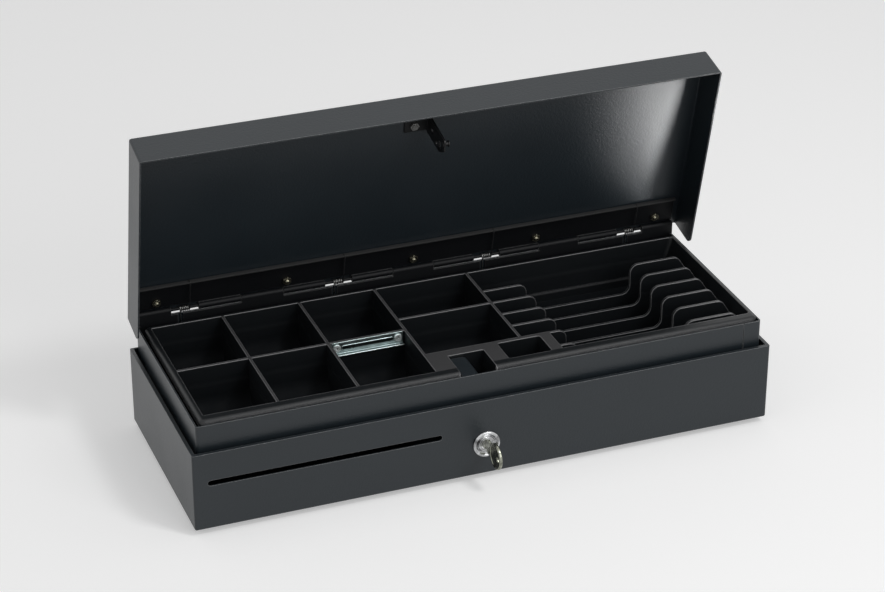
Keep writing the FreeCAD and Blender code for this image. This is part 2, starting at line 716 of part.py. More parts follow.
def make_lid_shell():
    bottom = LID_TOP - LID_SKIRT
    outer = box(CASE_LEFT, CASE_RIGHT, CASE_FRONT, CASE_REAR, bottom, LID_TOP)
    outer = outer.makeFillet(BEND_RADIUS, edges_along(outer, Z_AXIS, lambda point: point.y < 0))
    top_edges = [edge for edge in outer.Edges
                 if edge.BoundBox.ZMin > LID_TOP - NEAR and edge.BoundBox.YMin < CASE_REAR - NEAR]
    outer = outer.makeFillet(LID_BEND_RADIUS, top_edges)
    hollow = box(CASE_LEFT + SHEET, CASE_RIGHT - SHEET, CASE_FRONT + SHEET, CASE_REAR + PAST,
                 bottom - PAST, LID_INNER)
    inner_edges = edges_along(hollow, X_AXIS, lambda point: point.z > LID_INNER - NEAR and point.y < 0)
    inner_edges += edges_along(hollow, Y_AXIS, lambda point: point.z > LID_INNER - NEAR)
    hollow = hollow.makeFillet(LID_BEND_RADIUS - SHEET, inner_edges)
    shell = cut(outer, [hollow])
    tips = edges_along(shell, X_AXIS, lambda point: point.z < bottom + NEAR and point.y > CASE_REAR - NEAR)
    return opened(shell.makeFillet(LID_TIP_RADIUS, tips))


def coil_wire(points):
    """Arcs of a quarter turn through the points, three to an arc."""
    return [Part.Arc(points[step], points[step + 1], points[step + 2]).toShape()
            for step in range(0, len(points) - 1, 2)]


def swept_wire(edges, start, axis, radius):
    """Round wire swept along joined edges, as one solid."""
    profile = Part.Wire([Part.makeCircle(radius, start, axis)])
    swept = Part.Wire(edges).makePipeShell([profile], True, False)
    if swept.Volume < 0:
        swept = swept.reversed()
    return swept


def print_least_gap(name, points, wire_radius):
    """Print the least gap between points of the coil that lie over half a turn apart."""
    apart = STEPS_PER_TURN // 2 + 1
    gap = min(points[i].distanceToPoint(points[j]) for i in range(len(points))
              for j in range(i + apart, len(points)))
    print(name, "least gap between turns", round(gap - 2 * wire_radius, 2))


def make_hinge_spring(x):
    """Torsion spring round the hinge pin, with its lower leg laid down the base leaf."""
    radius = HINGE_PIN_RADIUS + SPRING_PIN_CLEARANCE + SPRING_WIRE_RADIUS
    steps = SPRING_TURNS * STEPS_PER_TURN
    points = []
    for step in range(steps + 1):
        angle = math.pi - 2 * math.pi * step / STEPS_PER_TURN
        points.append(Vector(spring_start(x) + SPRING_TURN_PITCH * step / STEPS_PER_TURN,
                             HINGE_Y + radius * math.cos(angle), HINGE_Z + radius * math.sin(angle)))
    print_least_gap("hinge spring", points, SPRING_WIRE_RADIUS)
    leg_bottom = points[0] - Z_AXIS * SPRING_LEG_LENGTH
    edges = [Part.makeLine(leg_bottom, points[0])] + coil_wire(points)
    return swept_wire(edges, leg_bottom, Z_AXIS, SPRING_WIRE_RADIUS)


def make_hinge_pin():
    half = HINGE_LENGTH / 2
    pin = rod_x(-half, half, HINGE_Y, HINGE_Z, HINGE_PIN_RADIUS)
    return pin.makeChamfer(HINGE_PIN_RADIUS / 4, [edge for edge in pin.Edges if edge.BoundBox.XLength < NEAR])


def make_base_leaf_rivets():
    rivets = []
    for x in leaf_fastener_places():
        z = rivet_height()
        shank = rod_y(BASE_LEAF_FRONT, COLLAR_REAR, x, z, RIVET_RADIUS)
        head = rod_y(BASE_LEAF_FRONT - RIVET_HEAD_HEIGHT, BASE_LEAF_FRONT, x, z, RIVET_HEAD_RADIUS)
        rivets.append(join([head, shank]))
    return Part.makeCompound(rivets)


def coin_cup(x0, x1, y0, y1):
    """Hollow of a coin cup, whose floor sweeps up in front and behind."""
    floor = TRAY_BOTTOM + TRAY_FLOOR
    outline = [(y0, floor, COIN_SCOOP_RADIUS), (y1, floor, COIN_SCOOP_RADIUS),
               (y1, TRAY_TOP + PAST, 0), (y0, TRAY_TOP + PAST, 0)]
    return side_plate(x0, x1, outline)


def coin_dividers_x():
    return [COIN_FIRST_DIVIDER_X + COIN_COLUMN * index for index in range(COIN_DIVIDERS)]


def coin_cups():
    half = DIVIDER / 2
    left = TRAY_LEFT + TRAY_RIM_LEFT
    front = TRAY_FRONT + TRAY_RIM_FRONT
    rear = TRAY_REAR - TRAY_RIM_REAR
    cups = []
    for divider in coin_dividers_x():
        cups.append(coin_cup(left, divider - half, front, COIN_CROSS_Y - half))
        cups.append(coin_cup(left, divider - half, COIN_CROSS_Y + half, rear))
        left = divider + half
    cups.append(coin_cup(left, BILL_SECTION_X - half, COIN_FRONT_Y_LAST + half, COIN_CROSS_Y_LAST - half))
    cups.append(coin_cup(left, BILL_SECTION_X - half, COIN_CROSS_Y_LAST + half, rear))
    return cups


def bill_wall_x(z):
    """Place of the bill section's sloping right wall at that height."""
    depth = TRAY_TOP - TRAY_BOTTOM - TRAY_FLOOR
    return TRAY_RIGHT - TRAY_RIM_RIGHT - BILL_WALL_SLOPE * (TRAY_TOP - z) / depth


def bill_divider(y, left):
    """Bill divider scooped down in the middle, so that fingers reach the notes."""
    low = TRAY_BOTTOM + TRAY_FLOOR / 2
    end = TRAY_TOP - BILL_END_DROP
    outline = [(left, low, 0), (bill_wall_x(low) + SHEET / 2, low, 0), (bill_wall_x(end) + SHEET / 2, end, 0),
               (bill_wall_x(TRAY_TOP) - BILL_END_SETBACK, TRAY_TOP, BILL_SCOOP_RADIUS),
               (BILL_SCOOP_RIGHT, TRAY_TOP, BILL_SCOOP_RADIUS),
               (BILL_SCOOP_RIGHT, BILL_SCOOP_Z, BILL_SCOOP_RADIUS),
               (BILL_SCOOP_LEFT, BILL_SCOOP_Z, BILL_SCOOP_RADIUS),
               (BILL_SCOOP_LEFT, TRAY_TOP, BILL_SCOOP_RADIUS), (left, TRAY_TOP, 0)]
    return front_plate(y - DIVIDER / 2, y + DIVIDER / 2, outline)


def bill_dividers():
    first = TRAY_FRONT + BILL_FIRST
    dividers = [bill_divider(first - BILL_PITCH * index, BILL_SECTION_X) for index in range(BILL_DIVIDERS)]
    return dividers + [bill_divider(TRAY_FRONT + BILL_SHORT, FRONT_BLOCK_RIGHT - SHEET / 2)]


def bill_section():
    """Hollow of the bill section, which narrows at the front block and has a sloping right wall."""
    floor = TRAY_BOTTOM + TRAY_FLOOR
    top = TRAY_TOP + PAST
    rear = TRAY_REAR - TRAY_RIM_REAR
    low_right = bill_wall_x(floor)
    high_right = bill_wall_x(top)
    pieces = []
    for left, front in ((BILL_SECTION_X + DIVIDER / 2, COIN_FRONT_Y_LAST + DIVIDER / 2),
                        (FRONT_BLOCK_RIGHT, TRAY_FRONT + TRAY_RIM_FRONT)):
        pieces.append(front_plate(front, rear, [(left, floor, 0), (low_right, floor, 0), (high_right, top, 0),
                                                (left, top, 0)]))
    section = join(pieces)
    wall = Vector(high_right - low_right, 0, top - floor)
    return section.makeFillet(BILL_SECTION_RADIUS, edges_along(section, wall, lambda point: True))


def tray_body():
    """Tub of the tray, narrower at its floor than under its rim."""
    left = TRAY_LEFT + TRAY_RIM_OVERHANG
    right = TRAY_RIGHT - TRAY_RIM_OVERHANG
    front = TRAY_FRONT + TRAY_RIM_OVERHANG
    rear = TRAY_REAR - TRAY_RIM_OVERHANG
    sections = []
    for inset, z in ((TRAY_DRAFT, TRAY_BOTTOM), (0.0, TRAY_TOP - DIVIDER / 2)):
        corners = [(left + inset, front + inset), (right - inset, front + inset),
                   (right - inset, rear - inset), (left + inset, rear - inset)]
        sections.append(rounded_wire([(Vector(x, y, z), TRAY_CORNER_RADIUS - DIVIDER / 2) for x, y in corners]))
    return Part.makeLoft(sections, True, True)


def tray_rim():
    """Rounded rim of the tray, hollow below so that it hangs over the tub."""
    rim = upright_box(TRAY_LEFT, TRAY_RIGHT, TRAY_FRONT, TRAY_REAR, TRAY_TOP - TRAY_RIM_DROP, TRAY_TOP,
                      TRAY_CORNER_RADIUS)
    rim = rim.makeFillet(TRAY_RIM_EDGE, [edge for edge in rim.Edges if edge.BoundBox.ZMin > TRAY_TOP - NEAR])
    wall = DIVIDER / 2
    hollow = upright_box(TRAY_LEFT + wall, TRAY_RIGHT - wall, TRAY_FRONT + wall, TRAY_REAR - wall,
                         TRAY_TOP - TRAY_RIM_DROP - PAST, TRAY_TOP - DIVIDER, TRAY_CORNER_RADIUS - wall)
    return cut(rim, [hollow])


def make_cash_tray():
    notch = box(NOTCH_LEFT, NOTCH_RIGHT, TRAY_FRONT - PAST, NOTCH_REAR, TRAY_BOTTOM - PAST, TRAY_TOP + PAST)
    pocket = upright_box(POCKET_LEFT, POCKET_RIGHT, TRAY_FRONT + POCKET_START, TRAY_FRONT + POCKET_END,
                         TRAY_TOP - POCKET_DEPTH, TRAY_TOP + PAST, POCKET_RADIUS)
    shell = cut(join([tray_body(), tray_rim()]), [bill_section(), notch, pocket] + coin_cups())
    holes = [rod_y(COIN_CROSS_Y - DIVIDER, COIN_CROSS_Y + DIVIDER, x, CLIP_EYELET_Z,
                   CLIP_EYELET_SHANK + HOLE_CLEARANCE) for x in clip_eyelet_places()]
    return cut(join([shell] + bill_dividers()), holes)


def clip_span():
    half = DIVIDER / 2
    left, right = coin_dividers_x()[1:]
    return left + half + CLIP_END_CLEARANCE, right - half - CLIP_END_CLEARANCE


def clip_eyelet_places():
    left, right = clip_span()
    return left + CLIP_EYELET_INSET, right - CLIP_EYELET_INSET


def make_divider_clip():
    left, right = clip_span()
    face = COIN_CROSS_Y - DIVIDER / 2
    front = face - CLIP_SHEET
    bottom = TRAY_TOP - CLIP_HEIGHT
    plate = front_plate(front, face, [(left, bottom, 0), (right, bottom, 0), (right, TRAY_TOP, CLIP_CORNER),
                                      (left, TRAY_TOP, CLIP_CORNER)])
    lip = box(left, right, face - CLIP_LIP, face, bottom - CLIP_SHEET, bottom)
    rib = slot_tool(left + 2 * CLIP_EYELET_INSET, right - 2 * CLIP_EYELET_INSET, front - CLIP_RIB_RISE,
                    front + CLIP_RIB_RISE, CLIP_EYELET_Z, CLIP_RIB_HEIGHT)
    holes = [rod_y(front - PAST, face + PAST, x, CLIP_EYELET_Z, CLIP_EYELET_SHANK + HOLE_CLEARANCE)
             for x in clip_eyelet_places()]
    return cut(join([plate, lip, rib]), holes)


def make_clip_eyelets():
    """Hollow rivets that hold the clip, with a rolled head in front and a flared tail behind."""
    face = COIN_CROSS_Y - DIVIDER / 2
    front = face - CLIP_SHEET
    back = COIN_CROSS_Y + DIVIDER / 2
    eyelets = []
    for x in clip_eyelet_places():
        head = rod_y(front - CLIP_SHEET, front, x, CLIP_EYELET_Z, CLIP_EYELET_RADIUS)
        head = head.makeFillet(CLIP_EYELET_EDGE, [edge for edge in head.Edges if edge.BoundBox.YMax < front - NEAR])
        shank = rod_y(front, back, x, CLIP_EYELET_Z, CLIP_EYELET_SHANK)
        tail = rod_y(back, back + CLIP_SHEET, x, CLIP_EYELET_Z, CLIP_EYELET_TAIL)
        bore = rod_y(front - PAST, back + PAST, x, CLIP_EYELET_Z, CLIP_EYELET_HOLE)
        eyelets.append(cut(join([head, shank, tail]), [bore]))
    return Part.makeCompound(eyelets)


def make_striker_bracket():
    bottom = LID_TOP - STRIKER_DROP
    leg = side_plate(STRIKER_X, STRIKER_RIGHT, [
        (STRIKER_FRONT_Y, LID_INNER, 0), (STRIKER_FRONT_Y, bottom, STRIKER_FRONT_RADIUS),
        (STRIKER_REAR_Y - STRIKER_CHAMFER, bottom, STRIKER_CHAMFER_RADIUS),
        (STRIKER_REAR_Y, bottom + STRIKER_CHAMFER_RISE, STRIKER_CHAMFER_RADIUS),
        (STRIKER_REAR_Y, LID_INNER, 0)])
    half_flange = STRIKER_FLANGE_DEPTH / 2
    flange = box(STRIKER_RIGHT - STRIKER_FLANGE_LENGTH, STRIKER_RIGHT, STRIKER_MIDDLE_Y - half_flange,
                 STRIKER_MIDDLE_Y + half_flange, LID_INNER - STRIKER_SHEET, LID_INNER)
    x0 = STRIKER_X - PAST
    x1 = STRIKER_RIGHT + PAST
    window_front = STRIKER_MIDDLE_Y - STRIKER_WINDOW_SHIFT
    holes = [rod_x(x0, x1, STRIKER_MIDDLE_Y, LID_TOP - STRIKER_UPPER_HOLE_DROP, STRIKER_UPPER_HOLE_RADIUS),
             rod_x(x0, x1, STRIKER_REAR_Y - STRIKER_LOWER_HOLE_EDGE, LID_TOP - STRIKER_LOWER_HOLE_DROP,
                   STRIKER_LOWER_HOLE_RADIUS),
             box(x0, x1, window_front, window_front + STRIKER_WINDOW_WIDTH,
                 LID_TOP - STRIKER_WINDOW_BOTTOM, LID_TOP - STRIKER_WINDOW_TOP),
             rod_x(x0, x1, STRIKER_PIN_Y, STRIKER_PIN_Z, STRIKER_PIN_RADIUS + PRESS_CLEARANCE),
             rod_z(LID_INNER - STRIKER_SHEET - PAST, LID_INNER + PAST, STRIKER_SCREW_X, STRIKER_MIDDLE_Y,
                   SCREW_RADIUS + HOLE_CLEARANCE)]
    return opened(cut(join([leg, flange]), holes))


def make_striker_nut():
    return nut_on_stud(STRIKER_SCREW_X, STRIKER_MIDDLE_Y, LID_INNER - STRIKER_SHEET, SCREW_HEAD_RADIUS, SCREW_RADIUS)


def headed_pin(left, right, y, z, radius, head_radius, head_height):
    """Pin along X with a head at each end, which stand outside left and right."""
    return join([rod_x(left, right, y, z, radius), rod_x(left - head_height, left, y, z, head_radius),
                 rod_x(right, right + head_height, y, z, head_radius)])


def make_striker_pin():
    return opened(headed_pin(STRIKER_X, STRIKER_RIGHT + STRIKER_PIN_REACH - STRIKER_PIN_HEAD_HEIGHT,
                             STRIKER_PIN_Y, STRIKER_PIN_Z, STRIKER_PIN_RADIUS, STRIKER_PIN_HEAD,
                             STRIKER_PIN_HEAD_HEIGHT))


def lever_hook():
    """Hook of the lever, whose nose reaches over the striker pin."""
    nose_under = STRIKER_PIN_Z + STRIKER_PIN_RADIUS + LEVER_HOOK_CLEARANCE
    top = nose_under + LEVER_NOSE_HEIGHT
    front = STRIKER_PIN_Y + STRIKER_PIN_RADIUS + 2 * LEVER_HOOK_CLEARANCE
    rear = front + LEVER_HOOK_WIDTH
    return side_plate(LEVER_X, LEVER_RIGHT, [
        (front, LEVER_PIVOT_Z, 0), (front, nose_under, LEVER_THROAT_RADIUS),
        (STRIKER_PIN_Y - STRIKER_PIN_RADIUS, nose_under, LEVER_TIP_RADIUS),
        (STRIKER_PIN_Y, top, LEVER_NOSE_RADIUS), (rear, top, LEVER_NOSE_RADIUS),
        (rear, LEVER_PIVOT_Z + LEVER_SHOULDER, LEVER_SHOULDER_RADIUS),
        (LEVER_PIVOT_Y + LEVER_ROOT, LEVER_PIVOT_Z, 0)]), rear


def make_latch_lever():
    """Hook that holds the striker pin, with an arm to the solenoid and a lug over the lock's cam."""
    hook, hook_rear = lever_hook()
    arm_rear = PLUNGER_Y + LEVER_ARM_PAST
    arm = side_plate(LEVER_X, LEVER_RIGHT, [
        (LEVER_PIVOT_Y, LEVER_PIVOT_Z - LEVER_ARM_ROOT, 0),
        (arm_rear, LEVER_PIVOT_Z - LEVER_ARM_TIP, LEVER_ARM_RADIUS),
        (arm_rear, LEVER_PIVOT_Z + LEVER_ARM_TIP, LEVER_ARM_RADIUS),
        (LEVER_PIVOT_Y, LEVER_PIVOT_Z + LEVER_ARM_ROOT, 0)])
    boss = rod_x(LEVER_X, LEVER_RIGHT, LEVER_PIVOT_Y, LEVER_PIVOT_Z, LEVER_BOSS_RADIUS)
    lug_z = LOCK_Z + CAM_REACH + LEVER_LUG_CLEARANCE
    lug_front = CAM_FRONT - LEVER_LUG_OVERLAP
    lug = box(LOCK_X - LEVER_LUG_WIDTH, LEVER_RIGHT, lug_front, lug_front + LEVER_LUG_DEPTH,
              lug_z, lug_z + LEVER_THICKNESS)
    web = box(LEVER_X, LEVER_RIGHT, lug_front, hook_rear - LEVER_WEB, lug_z - LEVER_WEB, lug_z + LEVER_LUG_DEPTH)
    x0 = LEVER_X - PAST
    x1 = LEVER_RIGHT + PAST
    radius = LINK_PIN_RADIUS + HOLE_CLEARANCE
    front = PLUNGER_Y - LEVER_SLOT_PLAY
    rear = PLUNGER_Y + LEVER_SLOT_PLAY
    slot = join([rod_x(x0, x1, front, LEVER_PIVOT_Z, radius), rod_x(x0, x1, rear, LEVER_PIVOT_Z, radius),
                 box(x0, x1, front, rear, LEVER_PIVOT_Z - radius, LEVER_PIVOT_Z + radius)])
    bore = rod_x(x0, x1, LEVER_PIVOT_Y, LEVER_PIVOT_Z, LEVER_PIVOT_RADIUS + HINGE_CLEARANCE)
    return released(cut(join([hook, arm, boss, web, lug]), [slot, bore]))


def make_latch_bracket():
    left, right = bracket_faces()
    front = LEVER_PIVOT_Y - BRACKET_AHEAD
    rear = LEVER_PIVOT_Y + BRACKET_BEHIND
    outer_left = left - BRACKET_SHEET
    outer_right = right + BRACKET_SHEET
    cheek = [(front, FLOOR_TOP, 0), (rear, FLOOR_TOP, 0), (rear, BRACKET_TOP - BRACKET_CORNER, BRACKET_CORNER),
             (rear - BRACKET_REAR_CORNER, BRACKET_TOP, BRACKET_REAR_CORNER), (front, BRACKET_TOP, BRACKET_CORNER)]
    pieces = [side_plate(outer_left, left, cheek), side_plate(right, outer_right, cheek),
              box(outer_left, outer_right, rear - BRACKET_SHEET, rear, FLOOR_TOP, FLOOR_TOP + BRACKET_BACK_HEIGHT),
              box(outer_left - BRACKET_FOOT, left, front, rear, FLOOR_TOP, FLOOR_TOP + BRACKET_SHEET),
              box(right, outer_right + BRACKET_FOOT, front, rear, FLOOR_TOP, FLOOR_TOP + BRACKET_SHEET)]
    holes = [rod_x(outer_left - PAST, outer_right + PAST, LEVER_PIVOT_Y, LEVER_PIVOT_Z,
                   LEVER_PIVOT_RADIUS + PRESS_CLEARANCE)]
    for x, y in bracket_screw_places():
        holes.append(rod_z(FLOOR_TOP - PAST, FLOOR_TOP + BRACKET_SHEET + PAST, x, y, SCREW_RADIUS + HOLE_CLEARANCE))
    return cut(join(pieces), holes)


def make_latch_pivot_pin():
    left, right = bracket_faces()
    return headed_pin(left - BRACKET_SHEET, right + BRACKET_SHEET, LEVER_PIVOT_Y, LEVER_PIVOT_Z,
                      LEVER_PIVOT_RADIUS, LEVER_PIVOT_RADIUS + PIVOT_HEAD_STEP, PIVOT_HEAD_HEIGHT)


def make_floor_screws(places):
    """Screws through the floor whose heads stand on feet of bracket sheet."""
    screws = []
    for x, y in places:
        head = rod_z(SOLENOID_FLOOR, SOLENOID_FLOOR + SCREW_HEAD_HEIGHT, x, y, SCREW_HEAD_RADIUS)
        screws.append(join([head, rod_z(FOOT_HEIGHT, SOLENOID_FLOOR, x, y, SCREW_RADIUS)]))
    return Part.makeCompound(screws)


def make_solenoid_frame():
    half = SOLENOID_WIDTH / 2
    front = PLUNGER_Y - SOLENOID_DEPTH / 2
    rear = PLUNGER_Y + SOLENOID_DEPTH / 2
    x = LEVER_MIDDLE_X
    outer = box(x - half, x + half, front, rear, FLOOR_TOP, SOLENOID_TOP)
    inner = box(x - half + BRACKET_SHEET, x + half - BRACKET_SHEET, front - PAST, rear + PAST,
                SOLENOID_FLOOR, SOLENOID_TOP - BRACKET_SHEET)
    ears = box(x - half - SOLENOID_EAR, x + half + SOLENOID_EAR, PLUNGER_Y - SOLENOID_EAR_DEPTH / 2,
               PLUNGER_Y + SOLENOID_EAR_DEPTH / 2, FLOOR_TOP, SOLENOID_FLOOR)
    holes = [rod_z(SOLENOID_TOP - BRACKET_SHEET - PAST, SOLENOID_TOP + PAST, x, PLUNGER_Y,
                   PLUNGER_RADIUS + PLUNGER_CLEARANCE)]
    for place in solenoid_screw_places():
        holes.append(rod_z(FLOOR_TOP - PAST, SOLENOID_FLOOR + PAST, place[0], place[1],
                           SCREW_RADIUS + HOLE_CLEARANCE))
    return cut(join([cut(outer, [inner]), ears]), holes)


def make_solenoid_coil():
    """Bobbin with its winding between two cheeks."""
    bottom = SOLENOID_FLOOR
    top = SOLENOID_TOP - BRACKET_SHEET
    x = LEVER_MIDDLE_X
    pieces = [rod_z(bottom + COIL_CHEEK, top - COIL_CHEEK, x, PLUNGER_Y, COIL_RADIUS - COIL_CHEEK_STEP),
              rod_z(bottom, bottom + COIL_CHEEK, x, PLUNGER_Y, COIL_RADIUS),
              rod_z(top - COIL_CHEEK, top, x, PLUNGER_Y, COIL_RADIUS)]
    return cut(join(pieces), [rod_z(bottom - PAST, top + PAST, x, PLUNGER_Y, PLUNGER_RADIUS + PLUNGER_CLEARANCE)])


def make_solenoid_core():
    return rod_z(SOLENOID_FLOOR, SOLENOID_FLOOR + CORE_HEIGHT, LEVER_MIDDLE_X, PLUNGER_Y, PLUNGER_RADIUS)


def make_solenoid_plunger():
    """Plunger with a forked head that holds the lever's arm."""
    x = LEVER_MIDDLE_X
    bottom = LINK_PIN_Z - CLEVIS_BELOW
    top = LINK_PIN_Z + CLEVIS_ABOVE
    rod = rod_z(SOLENOID_FLOOR + CORE_HEIGHT + CORE_GAP, bottom, x, PLUNGER_Y, PLUNGER_RADIUS)
    head = rod_z(bottom, top, x, PLUNGER_Y, CLEVIS_RADIUS)
    half_slot = LEVER_THICKNESS / 2 + CLEVIS_PLAY
    reach = CLEVIS_RADIUS + PAST
    slot = box(x - half_slot, x + half_slot, PLUNGER_Y - reach, PLUNGER_Y + reach, bottom + CLEVIS_FLOOR, top + PAST)
    bore = rod_x(x - reach, x + reach, PLUNGER_Y, LINK_PIN_Z, LINK_PIN_RADIUS + PRESS_CLEARANCE)
    return cut(join([rod, head]), [slot, bore])


def make_link_pin():
    x = LEVER_MIDDLE_X
    return rod_x(x - CLEVIS_RADIUS, x + CLEVIS_RADIUS, PLUNGER_Y, LINK_PIN_Z, LINK_PIN_RADIUS)


def make_plunger_spring():
    """Compression spring between the solenoid and the clevis, pressed short while the lever is released."""
    bottom = SOLENOID_TOP + RETURN_SPRING_WIRE + RETURN_SPRING_SEAT
    top = LINK_PIN_Z - CLEVIS_BELOW - RETURN_SPRING_WIRE - RETURN_SPRING_SEAT
    steps = RETURN_SPRING_TURNS * STEPS_PER_TURN
    points = []
    for step in range(steps + 1):
        angle = 2 * math.pi * step / STEPS_PER_TURN
        points.append(Vector(LEVER_MIDDLE_X + RETURN_SPRING_RADIUS * math.cos(angle),
                             PLUNGER_Y + RETURN_SPRING_RADIUS * math.sin(angle),
                             bottom + (top - bottom) * step / steps))
    print_least_gap("plunger spring", points, RETURN_SPRING_WIRE)
    return swept_wire(coil_wire(points), points[0], Y_AXIS, RETURN_SPRING_WIRE)


def make_lock_housing():
    flange = rod_y(LOCK_FACE, CASE_FRONT, LOCK_X, LOCK_Z, LOCK_FLANGE_RADIUS)
    flange = flange.makeFillet(LOCK_FLANGE_EDGE, [edge for edge in flange.Edges if edge.BoundBox.YMax < LOCK_FACE + NEAR])
    bore = rod_y(LOCK_FACE - PAST, CASE_FRONT + LOCK_BODY_LENGTH + PAST, LOCK_X, LOCK_Z,
                 LOCK_PLUG_RADIUS + HINGE_CLEARANCE)
    dish = Part.makeCone(LOCK_DISH_RADIUS, LOCK_DISH_FLOOR_RADIUS, LOCK_DISH_DEPTH,
                         Vector(LOCK_X, LOCK_FACE, LOCK_Z), Y_AXIS)
    return cut(join([flange, lock_section(0.0)]), [bore, dish])


def make_lock_nut():
    front = CASE_FRONT + SHEET
    nut = hexagon(LOCK_NUT_RADIUS, LOCK_NUT_THICKNESS, Vector(LOCK_X, front, LOCK_Z), Y_AXIS)
    return cut(nut, [rod_y(front - PAST, front + LOCK_NUT_THICKNESS + PAST, LOCK_X, LOCK_Z,
                           LOCK_BODY_RADIUS + HINGE_CLEARANCE)])


def make_lock_plug():
    face = LOCK_FACE + LOCK_PLUG_SETBACK
    plug = rod_y(face, CAM_FRONT, LOCK_X, LOCK_Z, LOCK_PLUG_RADIUS)
    plug = plug.makeFillet(LOCK_PLUG_EDGE, [edge for edge in plug.Edges if edge.BoundBox.YMax < face + NEAR])
    half = CAM_SQUARE / 2
    drive = box(LOCK_X - half, LOCK_X + half, CAM_FRONT, CAM_FRONT + CAM_THICKNESS, LOCK_Z - half, LOCK_Z + half)
    screw_hole = rod_y(CAM_FRONT - CAM_SCREW_DEPTH - HOLE_CLEARANCE, CAM_FRONT + CAM_THICKNESS + PAST, LOCK_X, LOCK_Z,
                       CAM_SCREW_RADIUS + HINGE_CLEARANCE)
    half_height = KEY_BLADE_HEIGHT / 2 + KEY_SLOT_CLEARANCE
    half_width = KEY_THICKNESS / 2 + KEY_SLOT_CLEARANCE
    keyway = box(LOCK_X - half_width, LOCK_X + half_width, face - PAST,
                 LOCK_FACE + KEY_BLADE_LENGTH + KEY_SLOT_CLEARANCE, LOCK_Z - half_height, LOCK_Z + half_height)
    return cut(join([plug, drive]), [keyway, screw_hole])


def make_lock_cam():
    half = CAM_WIDTH / 2
    tip = LOCK_X - CAM_REACH
    rear = CAM_FRONT + CAM_THICKNESS
    plate = front_plate(CAM_FRONT, rear, [
        (LOCK_X + half, LOCK_Z - half, CAM_ROUND), (LOCK_X + half, LOCK_Z + half, CAM_ROUND),
        (tip, LOCK_Z + half - CAM_TAPER, CAM_TIP_RADIUS), (tip, LOCK_Z - half + CAM_TAPER, CAM_TIP_RADIUS)])
    hole = CAM_SQUARE / 2 + HINGE_CLEARANCE
    return cut(plate, [box(LOCK_X - hole, LOCK_X + hole, CAM_FRONT - PAST, rear + PAST, LOCK_Z - hole, LOCK_Z + hole)])


def make_cam_screw():
    rear = CAM_FRONT + CAM_THICKNESS
    head = rod_y(rear, rear + CAM_SCREW_HEAD_HEIGHT, LOCK_X, LOCK_Z, CAM_SCREW_HEAD_RADIUS)
    return join([head, rod_y(CAM_FRONT - CAM_SCREW_DEPTH, rear, LOCK_X, LOCK_Z, CAM_SCREW_RADIUS)])


def make_key():
    bow_y = LOCK_FACE - KEY_BOW_DISTANCE
    bow_z = LOCK_Z - KEY_BOW_DROP
    x0 = LOCK_X - KEY_THICKNESS / 2
    x1 = LOCK_X + KEY_THICKNESS / 2
    bow = rod_x(x0, x1, bow_y, bow_z, KEY_BOW_RADIUS)
    bow = bow.makeFillet(KEY_BOW_EDGE, [edge for edge in bow.Edges if edge.BoundBox.XLength < NEAR])
    neck_low = LOCK_Z - KEY_NECK_HEIGHT / 2
    neck_high = LOCK_Z + KEY_NECK_HEIGHT / 2
    neck_end = LOCK_FACE - KEY_NECK_GAP
    neck = side_plate(x0, x1, [(bow_y, neck_low, 0), (neck_end, neck_low, KEY_NECK_RADIUS),
                               (neck_end, neck_high, KEY_NECK_RADIUS), (bow_y, neck_high, 0)])
    low = LOCK_Z - KEY_BLADE_HEIGHT / 2
    high = LOCK_Z + KEY_BLADE_HEIGHT / 2
    end = LOCK_FACE + KEY_BLADE_LENGTH
    blade = side_plate(x0, x1, [(bow_y, low, 0), (end - KEY_BLADE_TIP, low, 0), (end, LOCK_Z, 0),
                                (end - KEY_BLADE_TIP, high, 0), (bow_y, high, 0)])
    tools = [rod_x(x0 - PAST, x1 + PAST, bow_y - KEY_BOW_RADIUS + KEY_HOLE_EDGE, bow_z, KEY_HOLE_RADIUS)]
    for index, depth in enumerate((KEY_CUT_1, KEY_CUT_2, KEY_CUT_3, KEY_CUT_4)):
        y = LOCK_FACE + KEY_CUT_FIRST + KEY_CUT_PITCH * index
        reach = depth + KEY_CUT_FLARE
        tools.append(side_plate(x0 - PAST, x1 + PAST, [(y - reach, low - KEY_CUT_FLARE, 0), (y, low + depth, 0),
                                                       (y + reach, low - KEY_CUT_FLARE, 0)]))
    return cut(join([bow, neck, blade]), tools)


def make_rubber_foot(x, y):
    foot = Part.makeCone(FOOT_RADIUS - FOOT_TAPER, FOOT_RADIUS, FOOT_HEIGHT, Vector(x, y, 0), Z_AXIS)
    recess = rod_z(-PAST, FOOT_HEIGHT - FOOT_SEAT, x, y, SCREW_HEAD_RADIUS + FOOT_RECESS_CLEARANCE)
    return cut(foot, [recess, rod_z(0, FOOT_HEIGHT + PAST, x, y, SCREW_RADIUS + HOLE_CLEARANCE)])


def make_foot_screws():
    screws = []
    seat = FOOT_HEIGHT - FOOT_SEAT
    for x, y in foot_places():
        head = rod_z(seat - SCREW_HEAD_HEIGHT, seat, x, y, SCREW_HEAD_RADIUS)
        screws.append(join([head, rod_z(seat, FLOOR_TOP + FOOT_SCREW_PAST, x, y, SCREW_RADIUS)]))
    return Part.makeCompound(screws)


